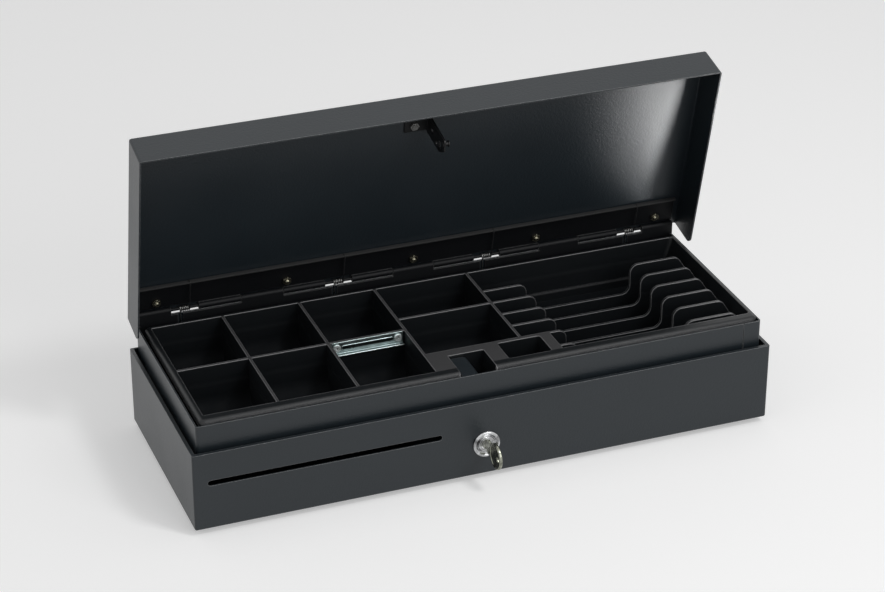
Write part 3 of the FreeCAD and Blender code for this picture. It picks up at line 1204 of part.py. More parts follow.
def make_cable_socket():
    half = SOCKET_WIDTH / 2
    low = SOCKET_Z - SOCKET_HEIGHT / 2
    high = SOCKET_Z + SOCKET_HEIGHT / 2
    inside = CASE_REAR - SHEET
    body = box(SOCKET_X - half, SOCKET_X + half, CASE_REAR - SOCKET_DEPTH, CASE_REAR, low, high)
    ears = box(SOCKET_X - half - SOCKET_EAR, SOCKET_X + half + SOCKET_EAR, inside - SOCKET_EAR_THICKNESS, inside,
               SOCKET_Z - SOCKET_EAR_HEIGHT / 2, SOCKET_Z + SOCKET_EAR_HEIGHT / 2)
    cavity_front = CASE_REAR - SOCKET_CAVITY_DEPTH
    cavity = box(SOCKET_X - SOCKET_CAVITY_WIDTH / 2, SOCKET_X + SOCKET_CAVITY_WIDTH / 2,
                 cavity_front, CASE_REAR + PAST,
                 SOCKET_Z - SOCKET_CAVITY_HEIGHT / 2, SOCKET_Z + SOCKET_CAVITY_HEIGHT / 2)
    key_groove = box(SOCKET_X - SOCKET_KEY_WIDTH / 2, SOCKET_X + SOCKET_KEY_WIDTH / 2, cavity_front, CASE_REAR + PAST,
                     SOCKET_Z, SOCKET_Z + SOCKET_CAVITY_HEIGHT / 2 + SOCKET_KEY_RISE)
    holes = [rod_y(inside - SOCKET_EAR_THICKNESS - PAST, inside + PAST, x, SOCKET_Z,
                   SOCKET_SCREW_RADIUS + HOLE_CLEARANCE) for x in socket_screw_places()]
    return cut(join([body, ears]), [cavity, key_groove] + holes)


def make_socket_screws():
    screws = []
    inside = CASE_REAR - SHEET - SOCKET_EAR_THICKNESS
    for x in socket_screw_places():
        head = rod_y(CASE_REAR, CASE_REAR + SOCKET_SCREW_HEAD_HEIGHT, x, SOCKET_Z, SOCKET_SCREW_HEAD_RADIUS)
        screws.append(join([head, rod_y(inside, CASE_REAR, x, SOCKET_Z, SOCKET_SCREW_RADIUS)]))
    return Part.makeCompound(screws)


def build():
    parts = {
        "case_shell": make_case_shell(),
        "collar_frame": make_collar_frame(),
        "tray_rail_left": make_tray_rail(-1),
        "tray_rail_right": make_tray_rail(1),
        "base_hinge_leaf": make_base_hinge_leaf(),
        "base_leaf_rivets": make_base_leaf_rivets(),
        "hinge_pin": make_hinge_pin(),
        "lid_shell": make_lid_shell(),
        "lid_hinge_leaf": make_lid_hinge_leaf(),
        "lid_leaf_nuts": make_lid_leaf_nuts(),
        "striker_bracket": make_striker_bracket(),
        "striker_nut": make_striker_nut(),
        "striker_pin": make_striker_pin(),
        "cash_tray": make_cash_tray(),
        "divider_clip": make_divider_clip(),
        "clip_eyelets": make_clip_eyelets(),
        "latch_lever": make_latch_lever(),
        "latch_bracket": make_latch_bracket(),
        "latch_pivot_pin": make_latch_pivot_pin(),
        "bracket_screws": make_floor_screws(bracket_screw_places()),
        "solenoid_frame": make_solenoid_frame(),
        "solenoid_coil": make_solenoid_coil(),
        "solenoid_core": make_solenoid_core(),
        "solenoid_plunger": make_solenoid_plunger(),
        "solenoid_screws": make_floor_screws(solenoid_screw_places()),
        "link_pin": make_link_pin(),
        "plunger_spring": make_plunger_spring(),
        "lock_housing": make_lock_housing(),
        "lock_nut": make_lock_nut(),
        "lock_plug": make_lock_plug(),
        "lock_cam": make_lock_cam(),
        "cam_screw": make_cam_screw(),
        "key": make_key(),
        "foot_screws": make_foot_screws(),
        "cable_socket": make_cable_socket(),
        "socket_screws": make_socket_screws(),
    }
    for index, x in enumerate(spring_places()):
        parts["hinge_spring_%d" % (index + 1)] = make_hinge_spring(x)
    for index, (x, y) in enumerate(foot_places()):
        parts["rubber_foot_%d" % (index + 1)] = make_rubber_foot(x, y)
    return parts


def centred(parts):
    """Move every piece along Y until the origin lies under the middle of their common box."""
    boxes = [shape.optimalBoundingBox(False) for shape in parts.values()]
    middle = (min(one.YMin for one in boxes) + max(one.YMax for one in boxes)) / 2
    print("moved along Y by", round(-middle, 4))
    for shape in parts.values():
        shape.translate(Vector(0, -middle, 0))
    return parts


os.makedirs("parts", exist_ok=True)
for name, shape in centred(build()).items():
    if not shape.isValid():
        raise ValueError(name + " isn't a valid solid")
    shape.exportStep("parts/" + name + ".step")
    print(name, len(shape.Solids), round(shape.Volume, 1))
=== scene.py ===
import json
import math

import bpy
from bpy.props import FloatProperty, FloatVectorProperty, IntProperty, PointerProperty
from mathutils import Matrix, Vector


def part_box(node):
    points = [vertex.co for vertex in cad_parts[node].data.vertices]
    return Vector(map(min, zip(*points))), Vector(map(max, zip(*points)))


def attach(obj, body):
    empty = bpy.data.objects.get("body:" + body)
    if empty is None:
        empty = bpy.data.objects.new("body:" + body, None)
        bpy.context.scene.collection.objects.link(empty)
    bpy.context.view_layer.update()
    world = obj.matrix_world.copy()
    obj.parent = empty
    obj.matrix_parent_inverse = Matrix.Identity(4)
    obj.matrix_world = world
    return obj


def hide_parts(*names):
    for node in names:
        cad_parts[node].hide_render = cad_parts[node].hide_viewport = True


bl_info = {
    "name": "Flip-top cash drawer dressing",
    "version": (1, 0, 0),
    "blender": (4, 5, 0),
    "location": "3D View > Sidebar > Cash Drawer",
    "description": "Dresses the flip-top cash drawer with finishes, small hardware and a studio stage",
    "category": "Object",
}

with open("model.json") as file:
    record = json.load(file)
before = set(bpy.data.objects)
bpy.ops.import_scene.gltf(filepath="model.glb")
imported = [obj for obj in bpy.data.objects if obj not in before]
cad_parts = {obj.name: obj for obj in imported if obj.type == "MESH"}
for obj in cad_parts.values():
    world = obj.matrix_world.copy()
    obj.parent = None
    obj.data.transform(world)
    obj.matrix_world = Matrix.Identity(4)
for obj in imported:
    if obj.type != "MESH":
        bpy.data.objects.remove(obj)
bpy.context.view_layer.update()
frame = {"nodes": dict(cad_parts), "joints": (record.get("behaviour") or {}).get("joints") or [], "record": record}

BASE_LOW, BASE_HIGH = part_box("case_shell")
LID_JOINT = next(joint for joint in frame["joints"] if joint["name"] == "lid_swing")
HINGE_PLACE = Vector(LID_JOINT["pos_m"])
LID_ANGLE = math.radians(LID_JOINT["range_deg"][0])
PLUG_JOINT = next(joint for joint in frame["joints"] if joint["name"] == "key_turn")
LOCK_PLACE = Vector(PLUG_JOINT["pos_m"])
MM = 0.001


def colour(name, text, value):
    """Colour property of a finish, in linear light."""
    return FloatVectorProperty(name=name, description=text, subtype="COLOR", size=3, min=0.0, max=1.0, default=value)


def length(name, text, value):
    """Length property in metres."""
    return FloatProperty(name=name, description=text, subtype="DISTANCE", unit="LENGTH", min=0.0, default=value)


class DrawerFinishes(bpy.types.PropertyGroup):
    """Colours and surface detail of the finishes."""

    paint: colour("Body paint", "Charcoal paint of the case, collar and lid", (0.0135, 0.0190, 0.0235))
    hinge: colour("Hinge paint", "Dark paint of the hinge's two leaves", (0.0045, 0.0050, 0.0060))
    tray: colour("Tray plastic", "Black moulded plastic of the tray", (0.0046, 0.0058, 0.0070))
    # Pale tone of the painted highlights and painted sheen on the tray's tops and thin walls.
    tray_highlight: colour("Tray highlight", "Tops of the tray's thin walls, rubbed pale by hands and coins", (0.36, 0.36, 0.37))
    # Pale tone along edges: partly paint worn thin, partly a painted highlight.
    edge_wear_and_highlight: colour("Edge wear and highlight", "Paint where it is thin along edges", (0.34, 0.345, 0.35))
    zinc: colour("Zinc plate", "Blue-white zinc plate of brackets, rails and screws", (0.52, 0.54, 0.53))
    clip: colour("Clip plate", "Grey-green zinc plate of the divider clip", (0.46, 0.56, 0.56))
    eyelet: colour("Eyelet plate", "Pale zinc plate of the clip's eyelets", (0.86, 0.94, 0.92))
    nuts: colour("Nut plate", "Yellowish zinc plate of the hinge's nuts", (0.30, 0.285, 0.215))
    bracket: colour("Striker steel", "Blackened steel of the striker bracket", (0.0060, 0.0064, 0.0070))
    chrome: colour("Chrome", "Chromed brass of the lock", (0.78, 0.79, 0.80))
    steel: colour("Bright steel", "Oiled steel of pins and springs", (0.42, 0.42, 0.41))
    nickel: colour("Key nickel", "Nickel-plated brass of the key", (0.34, 0.35, 0.29))
    tape: colour("Coil tape", "Amber tape round the coil", (0.17, 0.065, 0.012))
    rubber: colour("Rubber", "Black rubber of the feet", (0.012, 0.012, 0.012))
    contact: colour("Contact gold", "Gold flash on the socket's contacts", (0.75, 0.52, 0.18))
    edge_round: length("Edge rounding", "Radius by which the shading softens sharp edges", 0.0005)
    peel_size: length("Orange peel", "Width of the small waves in the paint", 0.0016)
    grain_size: length("Plastic grain", "Width of the moulded grain in the tray", 0.0005)


class DrawerDetails(bpy.types.PropertyGroup):
    """Sizes of the small hardware."""

    leg_wire: length("Spring wire", "Radius of the hinge springs' wire", 0.0005)
    leg_reach: length("Leg reach", "Distance from the hinge's axis to the end of a spring leg", 0.0262)
    leg_hook: length("Leg hook", "Height of the hook at the end of a spring leg", 0.0024)
    nut_radius: length("Nut radius", "Corner radius of the hinge's nuts", 0.0036)
    nut_height: length("Nut height", "Height of the hinge's nuts", 0.0020)
    ring_rise: length("Ring rise", "How far the turned rings of the lock stand out", 0.0003)
    key_rim: length("Key rim", "Width of the raised rim round the key's bow", 0.0014)
    key_rise: length("Key relief", "How far the key's rim and middle stand out", 0.0003)
    contacts: IntProperty(name="Contacts", description="Number of contact wires in the socket", default=6, min=1)


class DrawerStage(bpy.types.PropertyGroup):
    """Studio, lamps and camera."""

    lens: FloatProperty(name="Lens", description="Focal length of the camera", default=107.689, unit="CAMERA")
    floor: colour("Floor", "Pale floor of the studio", (0.86, 0.86, 0.86))
    key_power: FloatProperty(name="Left lamp", description="Power of the large lamp on the left", default=0.9, unit="POWER")
    fill_power: FloatProperty(name="Front lamp", description="Power of the lamp in front", default=11.0, unit="POWER")
    top_power: FloatProperty(name="Top lamp", description="Power of the lamp overhead", default=1.2, unit="POWER")
    edge_power: FloatProperty(name="Edge lamp", description="Power of the high lamp on the right", default=10.0, unit="POWER")
    strip_power: FloatProperty(name="Strip lamp", description="Power of the strip mirrored in the lid", default=0.18, unit="POWER")
    ambient: FloatProperty(name="Room light", description="Strength of the even light of the room", default=0.30)


def deselect_all():
    if bpy.context.object and bpy.context.object.mode != "OBJECT":
        bpy.ops.object.mode_set(mode="OBJECT")
    bpy.ops.object.select_all(action="DESELECT")


def begin(name):
    """Name the new primitive, put its place in its mesh and open it for shaping."""
    piece = bpy.context.object
    piece.name = name
    piece.data.name = name
    bpy.ops.object.transform_apply(location=True, rotation=True, scale=True)
    bpy.ops.object.mode_set(mode="EDIT")
    return piece


def mend(piece, gap=1e-6):
    """Merge doubles and turn all faces outwards."""
    bpy.ops.object.mode_set(mode="EDIT")
    bpy.ops.mesh.select_all(action="SELECT")
    bpy.ops.mesh.remove_doubles(threshold=gap)
    bpy.ops.mesh.normals_make_consistent(inside=False)
    bpy.ops.object.mode_set(mode="OBJECT")


def smooth(piece, degrees=35.0):
    deselect_all()
    piece.select_set(True)
    bpy.context.view_layer.objects.active = piece
    bpy.ops.object.shade_smooth_by_angle(angle=math.radians(degrees))


def apply_modifier(piece, kind, **values):
    deselect_all()
    piece.select_set(True)
    bpy.context.view_layer.objects.active = piece
    modifier = piece.modifiers.new(kind.title(), kind)
    for key, value in values.items():
        setattr(modifier, key, value)
    bpy.ops.object.modifier_apply(modifier=modifier.name)


def copied(piece, name, move):
    """Copy of a piece with its own mesh, moved by that much."""
    twin = piece.copy()
    twin.data = piece.data.copy()
    twin.name = name
    twin.data.name = name
    twin.data.transform(Matrix.Translation(move))
    bpy.context.scene.collection.objects.link(twin)
    return twin


def joined(pieces, name):
    deselect_all()
    for piece in pieces:
        piece.select_set(True)
    bpy.context.view_layer.objects.active = pieces[0]
    if len(pieces) > 1:
        bpy.ops.object.join()
    whole = bpy.context.object
    whole.name = name
    whole.data.name = name
    return whole


TURNS = {"X": (0.0, math.pi / 2, 0.0), "Y": (-math.pi / 2, 0.0, 0.0), "Z": (0.0, 0.0, 0.0)}
AXES = {"X": Vector((1, 0, 0)), "Y": Vector((0, 1, 0)), "Z": Vector((0, 0, 1))}


def turned(name, centre, axis, profile, sides=48, closed=False):
    """Turned piece: a circle extruded from ring to ring of (radius, distance along the axis)."""
    deselect_all()
    along = AXES[axis]
    radius, offset = profile[0]
    bpy.ops.mesh.primitive_circle_add(vertices=sides, radius=radius, fill_type="NOTHING" if closed else "NGON",
                                      location=centre + along * offset, rotation=TURNS[axis])
    piece = begin(name)
    bpy.ops.mesh.select_mode(type="EDGE" if closed else "FACE")
    for next_radius, next_offset in profile[1:]:
        step = along * (next_offset - offset)
        if closed:
            bpy.ops.mesh.extrude_edges_move(TRANSFORM_OT_translate={"value": step})
        else:
            bpy.ops.mesh.extrude_region_move(TRANSFORM_OT_translate={"value": step})
        scale = next_radius / radius
        value = tuple(1.0 if along[i] else scale for i in range(3))
        bpy.ops.transform.resize(value=value, center_override=centre + along * next_offset)
        radius, offset = next_radius, next_offset
    mend(piece)
    return piece


def dress(piece, body, material):
    """Give a finished piece its material and let it ride on its body."""
    piece.data.materials.clear()
    piece.data.materials.append(material)
    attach(piece, body)


def opened(piece):
    """Turn a piece drawn on the closed lid to its open place."""
    move = (Matrix.Translation(HINGE_PLACE) @ Matrix.Rotation(LID_ANGLE, 4, "X"))
    piece.data.transform(move)
    return piece


# Materials

def node(tree, kind, **values):
    made = tree.nodes.new(kind)
    for key, value in values.items():
        if hasattr(made, key) and key not in made.inputs:
            setattr(made, key, value)
        else:
            made.inputs[key].default_value = value
    return made


def start_material(name):
    material = bpy.data.materials.new(name)
    material.use_nodes = True
    tree = material.node_tree
    shader = tree.nodes["Principled BSDF"]
    place = node(tree, "ShaderNodeTexCoord").outputs["Object"]
    return material, tree, shader, place


def noise(tree, place, size, detail=2.0, stretch=None):
    """Noise with waves about that size in metres, from 0 to 1."""
    source = place
    if stretch:
        mapping = node(tree, "ShaderNodeMapping")
        mapping.inputs["Scale"].default_value = stretch
        tree.links.new(place, mapping.inputs["Vector"])
        source = mapping.outputs["Vector"]
    made = node(tree, "ShaderNodeTexNoise", Scale=1.0 / size, Detail=detail)
    tree.links.new(source, made.inputs["Vector"])
    return made.outputs["Fac"]


def spread(tree, source, low, high):
    """Map a noise's middle part to the range from low to high."""
    made = node(tree, "ShaderNodeMapRange")
    made.inputs["From Min"].default_value = 0.3
    made.inputs["From Max"].default_value = 0.7
    made.inputs["To Min"].default_value = low
    made.inputs["To Max"].default_value = high
    tree.links.new(source, made.inputs["Value"])
    return made.outputs["Result"]


def ramp(tree, source, start, end):
    """0 before the start, 1 past the end."""
    made = node(tree, "ShaderNodeMapRange")
    made.inputs["From Min"].default_value = start
    made.inputs["From Max"].default_value = end
    tree.links.new(source, made.inputs["Value"])
    return made.outputs["Result"]


def product(tree, first, *others):
    for other in others:
        made = node(tree, "ShaderNodeMath", operation="MULTIPLY")
        tree.links.new(first, made.inputs[0])
        tree.links.new(other, made.inputs[1])
        first = made.outputs[0]
    return first


def parts_of(tree, vector):
    made = node(tree, "ShaderNodeSeparateXYZ")
    tree.links.new(vector, made.inputs[0])
    return made.outputs


def edge_mask(tree, radius):
    """Normal softened at edges, and a mask that is 1 along edges, for the pale tone of edge wear and painted highlight.
    """
    soft = node(tree, "ShaderNodeBevel", samples=6, Radius=radius)
    flat = node(tree, "ShaderNodeNewGeometry")
    dot = node(tree, "ShaderNodeVectorMath", operation="DOT_PRODUCT")
    tree.links.new(soft.outputs["Normal"], dot.inputs[0])
    tree.links.new(flat.outputs["Normal"], dot.inputs[1])
    mask = node(tree, "ShaderNodeMapRange")
    mask.inputs["From Min"].default_value = 0.98
    mask.inputs["From Max"].default_value = 0.80
    tree.links.new(dot.outputs["Value"], mask.inputs["Value"])
    return soft.outputs["Normal"], mask.outputs["Result"]


def tone(tree, factor, dark, pale):
    """Mix of two colours by a factor."""
    made = node(tree, "ShaderNodeMix", data_type="RGBA")
    made.inputs[6].default_value = (*dark, 1.0)
    made.inputs[7].default_value = (*pale, 1.0)
    tree.links.new(factor, made.inputs[0])
    return made.outputs[2]


def tone_over(tree, factor, base, pale):
    made = node(tree, "ShaderNodeMix", data_type="RGBA")
    made.inputs[7].default_value = (*pale, 1.0)
    tree.links.new(factor, made.inputs[0])
    tree.links.new(base, made.inputs[6])
    return made.outputs[2]


def bump(tree, height, depth, normal, strength=1.0):
    made = node(tree, "ShaderNodeBump", Strength=strength, Distance=depth)
    tree.links.new(height, made.inputs["Height"])
    if normal:
        tree.links.new(normal, made.inputs["Normal"])
    return made.outputs["Normal"]


def scaled(value, factor):
    return tuple(min(1.0, part * factor) for part in value)


def painted(name, base, thin, peel, edge, rough, shine, wear_and_highlight_strength, depth):
    """Sprayed paint: small waves, slight cloudiness, dust, and pale edges, partly worn thin and partly a painted
    highlight.
    """
    material, tree, shader, place = start_material(name)
    soft, wear_and_highlight_edges = edge_mask(tree, edge)
    cloud = noise(tree, place, 0.06, 3.0)
    colour_out = tone(tree, cloud, scaled(base, 0.90), scaled(base, 1.10))
    chips = noise(tree, place, 0.0022, 4.0)
    # Pale edge tone: partly paint worn thin, partly a painted highlight.
    mask = node(tree, "ShaderNodeMath", operation="MULTIPLY")
    tree.links.new(wear_and_highlight_edges, mask.inputs[0])
    tree.links.new(spread(tree, chips, wear_and_highlight_strength * 0.4, wear_and_highlight_strength), mask.inputs[1])
    colour_out = tone_over(tree, mask.outputs[0], colour_out, thin)
    tree.links.new(colour_out, shader.inputs["Base Color"])
    tree.links.new(spread(tree, noise(tree, place, 0.05, 2.0), rough * 0.96, rough * 1.04), shader.inputs["Roughness"])
    tree.links.new(bump(tree, noise(tree, place, peel, 2.0), depth, soft), shader.inputs["Normal"])
    shader.inputs["Specular IOR Level"].default_value = shine
    return material


def moulded(name, look, box):
    """Moulded plastic of the tray: spark grain, scuffs, dusty depths, and painted highlights on the tops and thin
    edges.
    """
    material, tree, shader, place = start_material(name)
    low, high = box
    soft, wear_and_highlight_edges = edge_mask(tree, look.edge_round * 2.2)
    inward = node(tree, "ShaderNodeAmbientOcclusion", samples=8, inside=True, Distance=1.3 * MM)
    thin = ramp(tree, inward.outputs["AO"], 0.75, 0.50)
    spot = parts_of(tree, place)
    upper = ramp(tree, spot["Z"], high.z - 18 * MM, high.z - 13 * MM)
    # The painted highlight fades out where the faces turn to the right.
    not_right = ramp(tree, parts_of(tree, soft)["X"], 0.42, 0.15)
    above_floor = ramp(tree, spot["Z"], high.z - 32 * MM, high.z - 29 * MM)
    fade = 0.3 * MM
    # Painted sheen: the top faces inside the rim are made paler.
    top = product(tree, ramp(tree, spot["Z"], high.z - 2 * fade, high.z - fade),
                  ramp(tree, spot["X"], low.x + 4.6 * MM - fade, low.x + 4.6 * MM),
                  ramp(tree, spot["Y"], low.y + 8.0 * MM - fade, low.y + 8.0 * MM),
                  ramp(tree, spot["Y"], high.y - 4.6 * MM + fade, high.y - 4.6 * MM),
                  ramp(tree, spot["X"], high.x - 3.2 * MM + fade, high.x - 3.2 * MM))
    scuffs = noise(tree, place, 0.004, 5.0, (1.0, 0.25, 1.0))
    colour_out = tone(tree, scuffs, scaled(look.tray, 0.85), scaled(look.tray, 1.25))
    colour_out = tone_over(tree, top, colour_out, scaled(look.tray_highlight, 0.17))
    # Painted highlight: the tops of thin walls above the floor are made pale.
    colour_out = tone_over(tree, product(tree, thin, not_right, above_floor), colour_out, look.tray_highlight)
    tree.links.new(colour_out, shader.inputs["Base Color"])
    dust = spread(tree, noise(tree, place, 0.011, 4.0), 0.68, 0.80)
    rough = node(tree, "ShaderNodeMix", data_type="FLOAT")
    tree.links.new(upper, rough.inputs[0])
    tree.links.new(dust, rough.inputs[2])
    rough.inputs[3].default_value = 0.42
    tree.links.new(rough.outputs[0], shader.inputs["Roughness"])
    shine = node(tree, "ShaderNodeMapRange")
    shine.inputs["To Min"].default_value = 0.12
    shine.inputs["To Max"].default_value = 0.38
    tree.links.new(upper, shine.inputs["Value"])
    tree.links.new(shine.outputs["Result"], shader.inputs["Specular IOR Level"])
    tree.links.new(bump(tree, noise(tree, place, look.grain_size, 2.0), 0.00005, soft), shader.inputs["Normal"])
    return material


def plated(name, base, rough, edge, streak=(1.0, 1.0, 1.0), size=0.003, depth=0.00001, dark=0.82, pale=1.35):
    """Plated metal: cloudy plate with fine rolling marks, a little tarnish and paler edges; where dark is set very low,
    the cloud's dark patches are painted reflections.
    """
    material, tree, shader, place = start_material(name)
    soft, wear_and_highlight_edges = edge_mask(tree, edge)
    cloud = noise(tree, place, size, 4.0)
    colour_out = tone(tree, spread(tree, cloud, 0.0, 1.0), scaled(base, dark), scaled(base, 1.12))
    colour_out = tone_over(tree, wear_and_highlight_edges, colour_out, scaled(base, pale))
    tree.links.new(colour_out, shader.inputs["Base Color"])
    marks = noise(tree, place, 0.0009, 3.0, streak)
    tree.links.new(spread(tree, marks, rough * 0.75, rough * 1.25), shader.inputs["Roughness"])
    tree.links.new(bump(tree, marks, depth, soft), shader.inputs["Normal"])
    shader.inputs["Metallic"].default_value = 1.0
    return material


def taped(name, base):
    """Amber film tape wound round a coil, with the copper turns showing as fine ribs."""
    material, tree, shader, place = start_material(name)
    wave = node(tree, "ShaderNodeTexWave", bands_direction="Z", Scale=1400.0, Distortion=1.2)
    tree.links.new(place, wave.inputs["Vector"])
    tree.links.new(tone(tree, wave.outputs["Fac"], scaled(base, 0.6), scaled(base, 1.5)), shader.inputs["Base Color"])
    tree.links.new(bump(tree, wave.outputs["Fac"], 0.00012, None), shader.inputs["Normal"])
    tree.links.new(spread(tree, noise(tree, place, 0.004, 3.0), 0.22, 0.4), shader.inputs["Roughness"])
    return material


def rubbery(name, base, edge):
    """Dull moulded rubber with a dusty bloom."""
    material, tree, shader, place = start_material(name)
    soft, wear_and_highlight_edges = edge_mask(tree, edge)
    bloom = noise(tree, place, 0.0016, 5.0)
    colour_out = tone(tree, bloom, scaled(base, 0.8), scaled(base, 1.9))
    tree.links.new(tone_over(tree, wear_and_highlight_edges, colour_out, scaled(base, 2.6)), shader.inputs["Base Color"])
    tree.links.new(spread(tree, bloom, 0.62, 0.82), shader.inputs["Roughness"])
    tree.links.new(bump(tree, noise(tree, place, 0.0007, 2.0), 0.00006, soft), shader.inputs["Normal"])
    return material


finishes = {}


def make_finishes(look):
    edge = look.edge_round
    finishes["charcoal_paint"] = painted("charcoal_paint", look.paint, look.edge_wear_and_highlight, look.peel_size, edge * 1.4, 0.35, 0.48, 0.9, 0.00014)
    finishes["hinge_paint"] = painted("hinge_paint", look.hinge, scaled(look.edge_wear_and_highlight, 0.25), look.peel_size, edge * 2.4, 0.50, 0.17, 1.0, 0.00005)
    leaf_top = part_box("lid_hinge_leaf")[1].z
    # Painted highlight: a pale band along the top of the lid's hinge leaf.
    banded(finishes["hinge_paint"], "Z", leaf_top - 3.0 * MM, leaf_top - 2.6 * MM, scaled(look.edge_wear_and_highlight, 0.10))
    finishes["black_plastic"] = moulded("black_plastic", look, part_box("cash_tray"))
    finishes["zinc"] = plated("zinc", look.zinc, 0.34, edge * 0.6, (1.0, 1.0, 0.2))
    finishes["clip_zinc"] = plated("clip_zinc", look.clip, 0.34, edge * 1.2, (0.15, 1.0, 1.0), 0.006, 0.00002, 0.6, 1.6)
    clip_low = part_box("divider_clip")[0]
    # Painted shade: a dark band near the clip's front; painted highlight: a pale band at its very front edge, on the
    # lower lip.
    banded(finishes["clip_zinc"], "Y", clip_low.y + 3.1 * MM, clip_low.y + 2.9 * MM, scaled(look.clip, 0.14))
    banded(finishes["clip_zinc"], "Y", clip_low.y + 0.7 * MM, clip_low.y + 0.4 * MM, scaled(look.clip, 2.0))
    finishes["eyelet_zinc"] = plated("eyelet_zinc", look.eyelet, 0.50, edge * 0.6)
    finishes["nut_zinc"] = plated("nut_zinc", look.nuts, 0.30, edge * 0.5, dark=0.5, pale=1.8)
    finishes["black_steel"] = painted("black_steel", look.bracket, scaled(look.edge_wear_and_highlight, 0.2), look.peel_size * 0.6, edge * 0.8, 0.38, 0.25, 1.0, 0.00003)
    # Painted reflection: the chrome's cloud goes nearly black in patches.
    finishes["chrome"] = plated("chrome", look.chrome, 0.10, edge * 0.6, size=0.008, depth=0.000004, dark=0.06)
    finishes["spring_steel"] = plated("spring_steel", scaled(look.steel, 0.5), 0.30, edge * 0.4)
    finishes["steel"] = plated("steel", look.steel, 0.28, edge * 0.4, (0.1, 1.0, 1.0))
    finishes["nickel"] = plated("nickel", look.nickel, 0.22, edge * 0.5, (1.0, 0.3, 1.0), 0.003, 0.00002, 0.25, 2.0)
    finishes["coil_tape"] = taped("coil_tape", look.tape)
    finishes["rubber"] = rubbery("rubber", look.rubber, edge)
    finishes["contact_gold"] = plated("contact_gold", look.contact, 0.22, edge * 0.2)


class CASHDRAWER_OT_finishes(bpy.types.Operator):
    """Give every part of the drawer its finish"""

    bl_idname = "cash_drawer.finishes"
    bl_label = "Finishes"

    def execute(self, context):
        make_finishes(context.scene.drawer_finishes)
        special = {"divider_clip": "clip_zinc", "clip_eyelets": "eyelet_zinc", "lid_leaf_nuts": "nut_zinc",
                   "striker_nut": "spring_steel", "striker_pin": "black_steel", "hinge_pin": "hinge_paint"}
        special.update({"hinge_spring_%d" % index: "spring_steel" for index in range(1, 5)})
        slots = {part["node"]: part["material_slot"] for part in frame["record"]["subparts"]}
        for name, part in frame["nodes"].items():
            material = finishes[special.get(name, slots[name])]
            part.data.materials.clear()
            part.data.materials.append(material)
        return {"FINISHED"}


def banded(material, axis, start, end, shade):
    """Give a plate another shade past a place along an axis, fading in from start to end."""
    tree = material.node_tree
    shader = tree.nodes["Principled BSDF"]
    spot = parts_of(tree, node(tree, "ShaderNodeTexCoord").outputs["Object"])
    colour_in = shader.inputs["Base Color"].links[0].from_socket
    tree.links.new(tone_over(tree, ramp(tree, spot[axis], start, end), colour_in, shade), shader.inputs["Base Color"])


class CASHDRAWER_OT_spring_legs(bpy.types.Operator):
    """Make the upper legs of the hinge springs, which press on the lid's leaf"""

    bl_idname = "cash_drawer.spring_legs"
    bl_label = "Spring legs"

    def execute(self, context):
        sizes = context.scene.drawer_details
        wire = sizes.leg_wire
        start = Vector((0.0, -0.42 * MM, -1.82 * MM))
        rise = math.radians(13.0)
        bend_radius = 6 * MM
        hook_radius = 1.2 * MM
        along = Vector((0.0, -math.cos(rise), math.sin(rise)))
        centre = start + Vector((0.0, -math.sin(rise), -math.cos(rise))) * bend_radius
        deselect_all()
        bpy.ops.mesh.primitive_circle_add(vertices=12, radius=wire, fill_type="NGON", location=start,
                                          rotation=along.to_track_quat("Z", "Y").to_euler())
        leg = begin("spring_leg")
        bpy.ops.mesh.select_mode(type="FACE")
        bpy.ops.mesh.spin(steps=4, angle=-rise, center=centre, axis=(1.0, 0.0, 0.0))
        level = centre.z + bend_radius
        straight = -sizes.leg_reach - centre.y + hook_radius
        bpy.ops.mesh.extrude_region_move(TRANSFORM_OT_translate={"value": (0.0, straight, 0.0)})
        turn = Vector((0.0, centre.y + straight, level + hook_radius))
        bpy.ops.mesh.spin(steps=6, angle=math.pi / 2, center=turn, axis=(1.0, 0.0, 0.0))
        bpy.ops.mesh.extrude_region_move(TRANSFORM_OT_translate={"value": (0.0, 0.0, sizes.leg_hook - hook_radius)})
        mend(leg)
        smooth(leg, 50.0)
        opened(leg)
        for index in range(1, 5):
            low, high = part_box("hinge_spring_%d" % index)
            twin = copied(leg, "spring_leg_%d" % index, Vector((high.x - wire, 0.0, 0.0)))
            dress(twin, "lid", finishes["hinge_paint"])
        bpy.data.objects.remove(leg)
        return {"FINISHED"}


def threaded_stud(name, centre, radius, start, end, pitch):
    """Stud that hangs down from its centre point, with turned thread grooves and a chamfered end."""
    core = radius * 0.86
    profile = [(radius, -0.1 * MM), (radius, -start)]
    place = start
    while place + pitch <= end:
        profile += [(core, -place - pitch / 2), (radius, -place - pitch)]
        place += pitch
    profile += [(radius * 0.7, -end - pitch / 2)]
    return turned(name, centre, "Z", profile, sides=24)


def hex_nut(name, centre, radius, height):
    """Nut along Z whose corners are turned off, hanging down from its centre point."""
    deselect_all()
    bpy.ops.mesh.primitive_cylinder_add(vertices=6, radius=radius, depth=height,
                                        location=centre - Vector((0, 0, height / 2)))
    nut = begin(name)
    bpy.ops.object.mode_set(mode="OBJECT")
    cone = turned("corner_cutter", centre, "Z",
                  [(radius * 0.90, -height - 1e-5), (radius * 1.04, -height + radius * 0.09), (radius * 1.04, 0.1 * MM)], 48)
    apply_modifier(nut, "BOOLEAN", object=cone, operation="INTERSECT", solver="EXACT")
    bpy.data.objects.remove(cone)
    return nut


